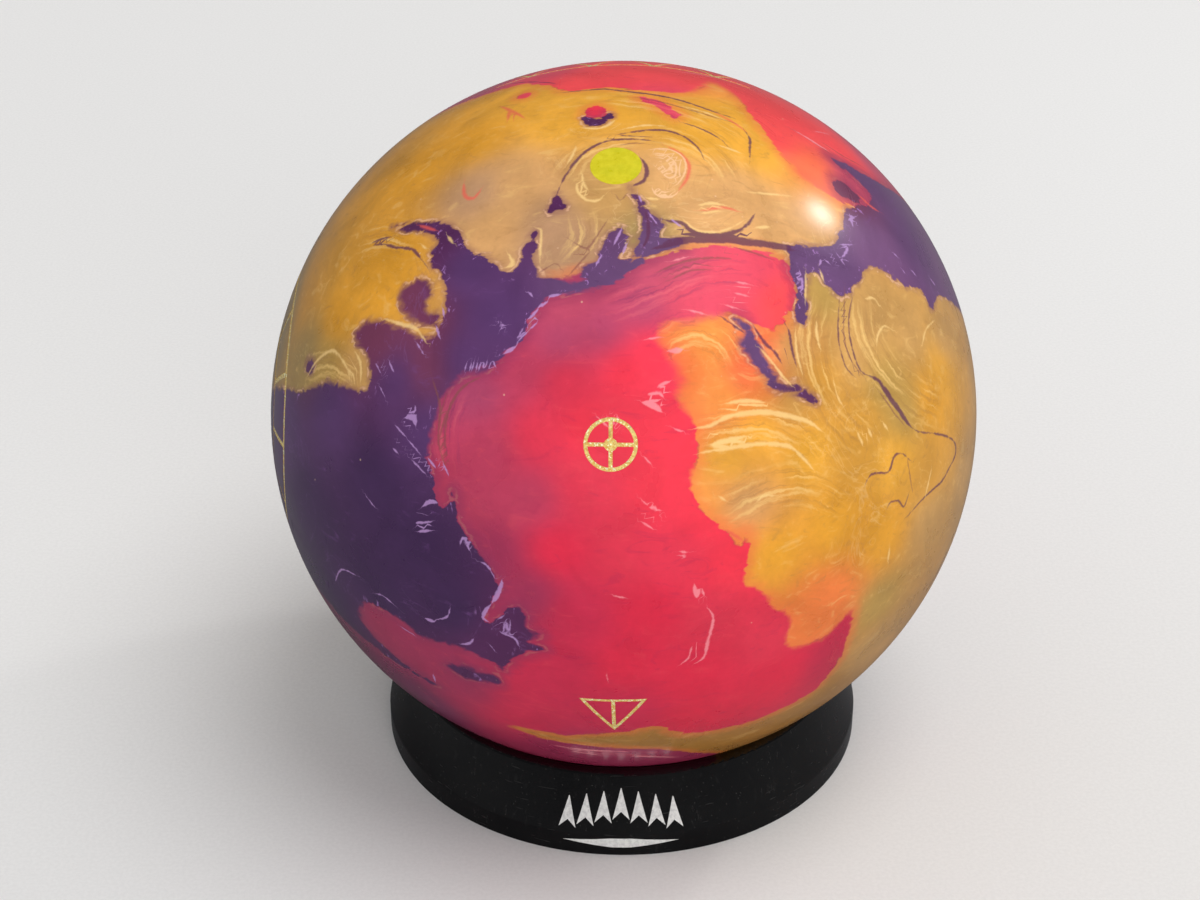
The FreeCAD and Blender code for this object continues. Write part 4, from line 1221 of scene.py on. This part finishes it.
def cup():
    dress(frame["nodes"]["ball_cup"], cup_plastic())
    cup_print()


# ---------------------------------------------------------------- the studio

def turned(ahead):
    """The rotation of a camera or lamp that looks ahead."""
    return Vector(ahead).to_track_quat("-Z", "Y").to_euler()


def camera():
    data = bpy.data.cameras.new("camera")
    data.lens = CAMERA_LENS
    thing = new_object("camera", data)
    thing.location = BALL_CENTRE + TOWARDS * CAMERA_DISTANCE
    thing.rotation_euler = turned(
        -TOWARDS - math.tan(AIM_LEFT) * ACROSS - math.tan(AIM_DOWN) * UPWARDS)
    bpy.context.scene.camera = thing


def lamp(name, towards, distance, size, power):
    """A round lamp that faces the ball."""
    data = bpy.data.lights.new(name, "AREA")
    data.shape = "DISK"
    data.size = size
    data.energy = power
    thing = new_object(name, data)
    thing.location = BALL_CENTRE + towards * distance
    thing.rotation_euler = turned(-towards)


def soft_light(name, towards, spread, strength):
    """Broad even light from one side, left out of reflections."""
    data = bpy.data.lights.new(name, "SUN")
    data.angle = spread
    data.energy = strength
    thing = new_object(name, data)
    thing.rotation_euler = turned(-Vector(towards))
    thing.visible_glossy = False


def mirrored(lonlat):
    """The direction of a lamp whose reflection shows at that place on the ball."""
    normal = direction([lonlat])[0]
    eye = unit(TOWARDS * CAMERA_DISTANCE - normal * BALL_RADIUS)
    return 2 * (normal @ eye) * normal - eye


def backdrop(world):
    """Plain grey light from all round, a darker grey in reflections, and pale to the camera."""
    world.use_nodes = True
    nodes, links = world.node_tree.nodes, world.node_tree.links
    path = nodes.new("ShaderNodeLightPath")
    shown = nodes["Background"]
    shown.inputs["Color"].default_value = (*srgb(200, 200, 202), 1)
    shown.inputs["Strength"].default_value = 0.85
    for ray, shade, strength in (("Is Glossy Ray", srgb(120, 121, 124), 0.4),
                                 ("Is Camera Ray", srgb(232, 232, 230), 1.0)):
        other = nodes.new("ShaderNodeBackground")
        other.inputs["Color"].default_value = (*shade, 1)
        other.inputs["Strength"].default_value = strength
        choice = nodes.new("ShaderNodeMixShader")
        links.new(path.outputs[ray], choice.inputs["Fac"])
        links.new(shown.outputs[0], choice.inputs[1])
        links.new(other.outputs["Background"], choice.inputs[2])
        shown = choice
    links.new(shown.outputs[0], nodes["World Output"].inputs["Surface"])


def studio():
    world = bpy.data.worlds.new("world")
    bpy.context.scene.world = world
    backdrop(world)
    lamp("key", mirrored(HIGHLIGHT), distance=1.3, size=0.12, power=1.7)
    soft_light("high", towards=(0.35, -0.15, 1.0), spread=0.7, strength=1.35)
    soft_light("front", towards=(0.2, -1.0, 0.22), spread=0.9, strength=1.55)
    bpy.ops.mesh.primitive_grid_add(x_subdivisions=8, y_subdivisions=8, size=8,
                                    location=(0, 0, cad_box[0][2]))
    floor = bpy.context.object
    floor.name = "floor"
    floor.data.materials.append(floor_paper())
    bpy.context.scene.view_settings.view_transform = "Standard"


camera()
ball()
cup()
studio()
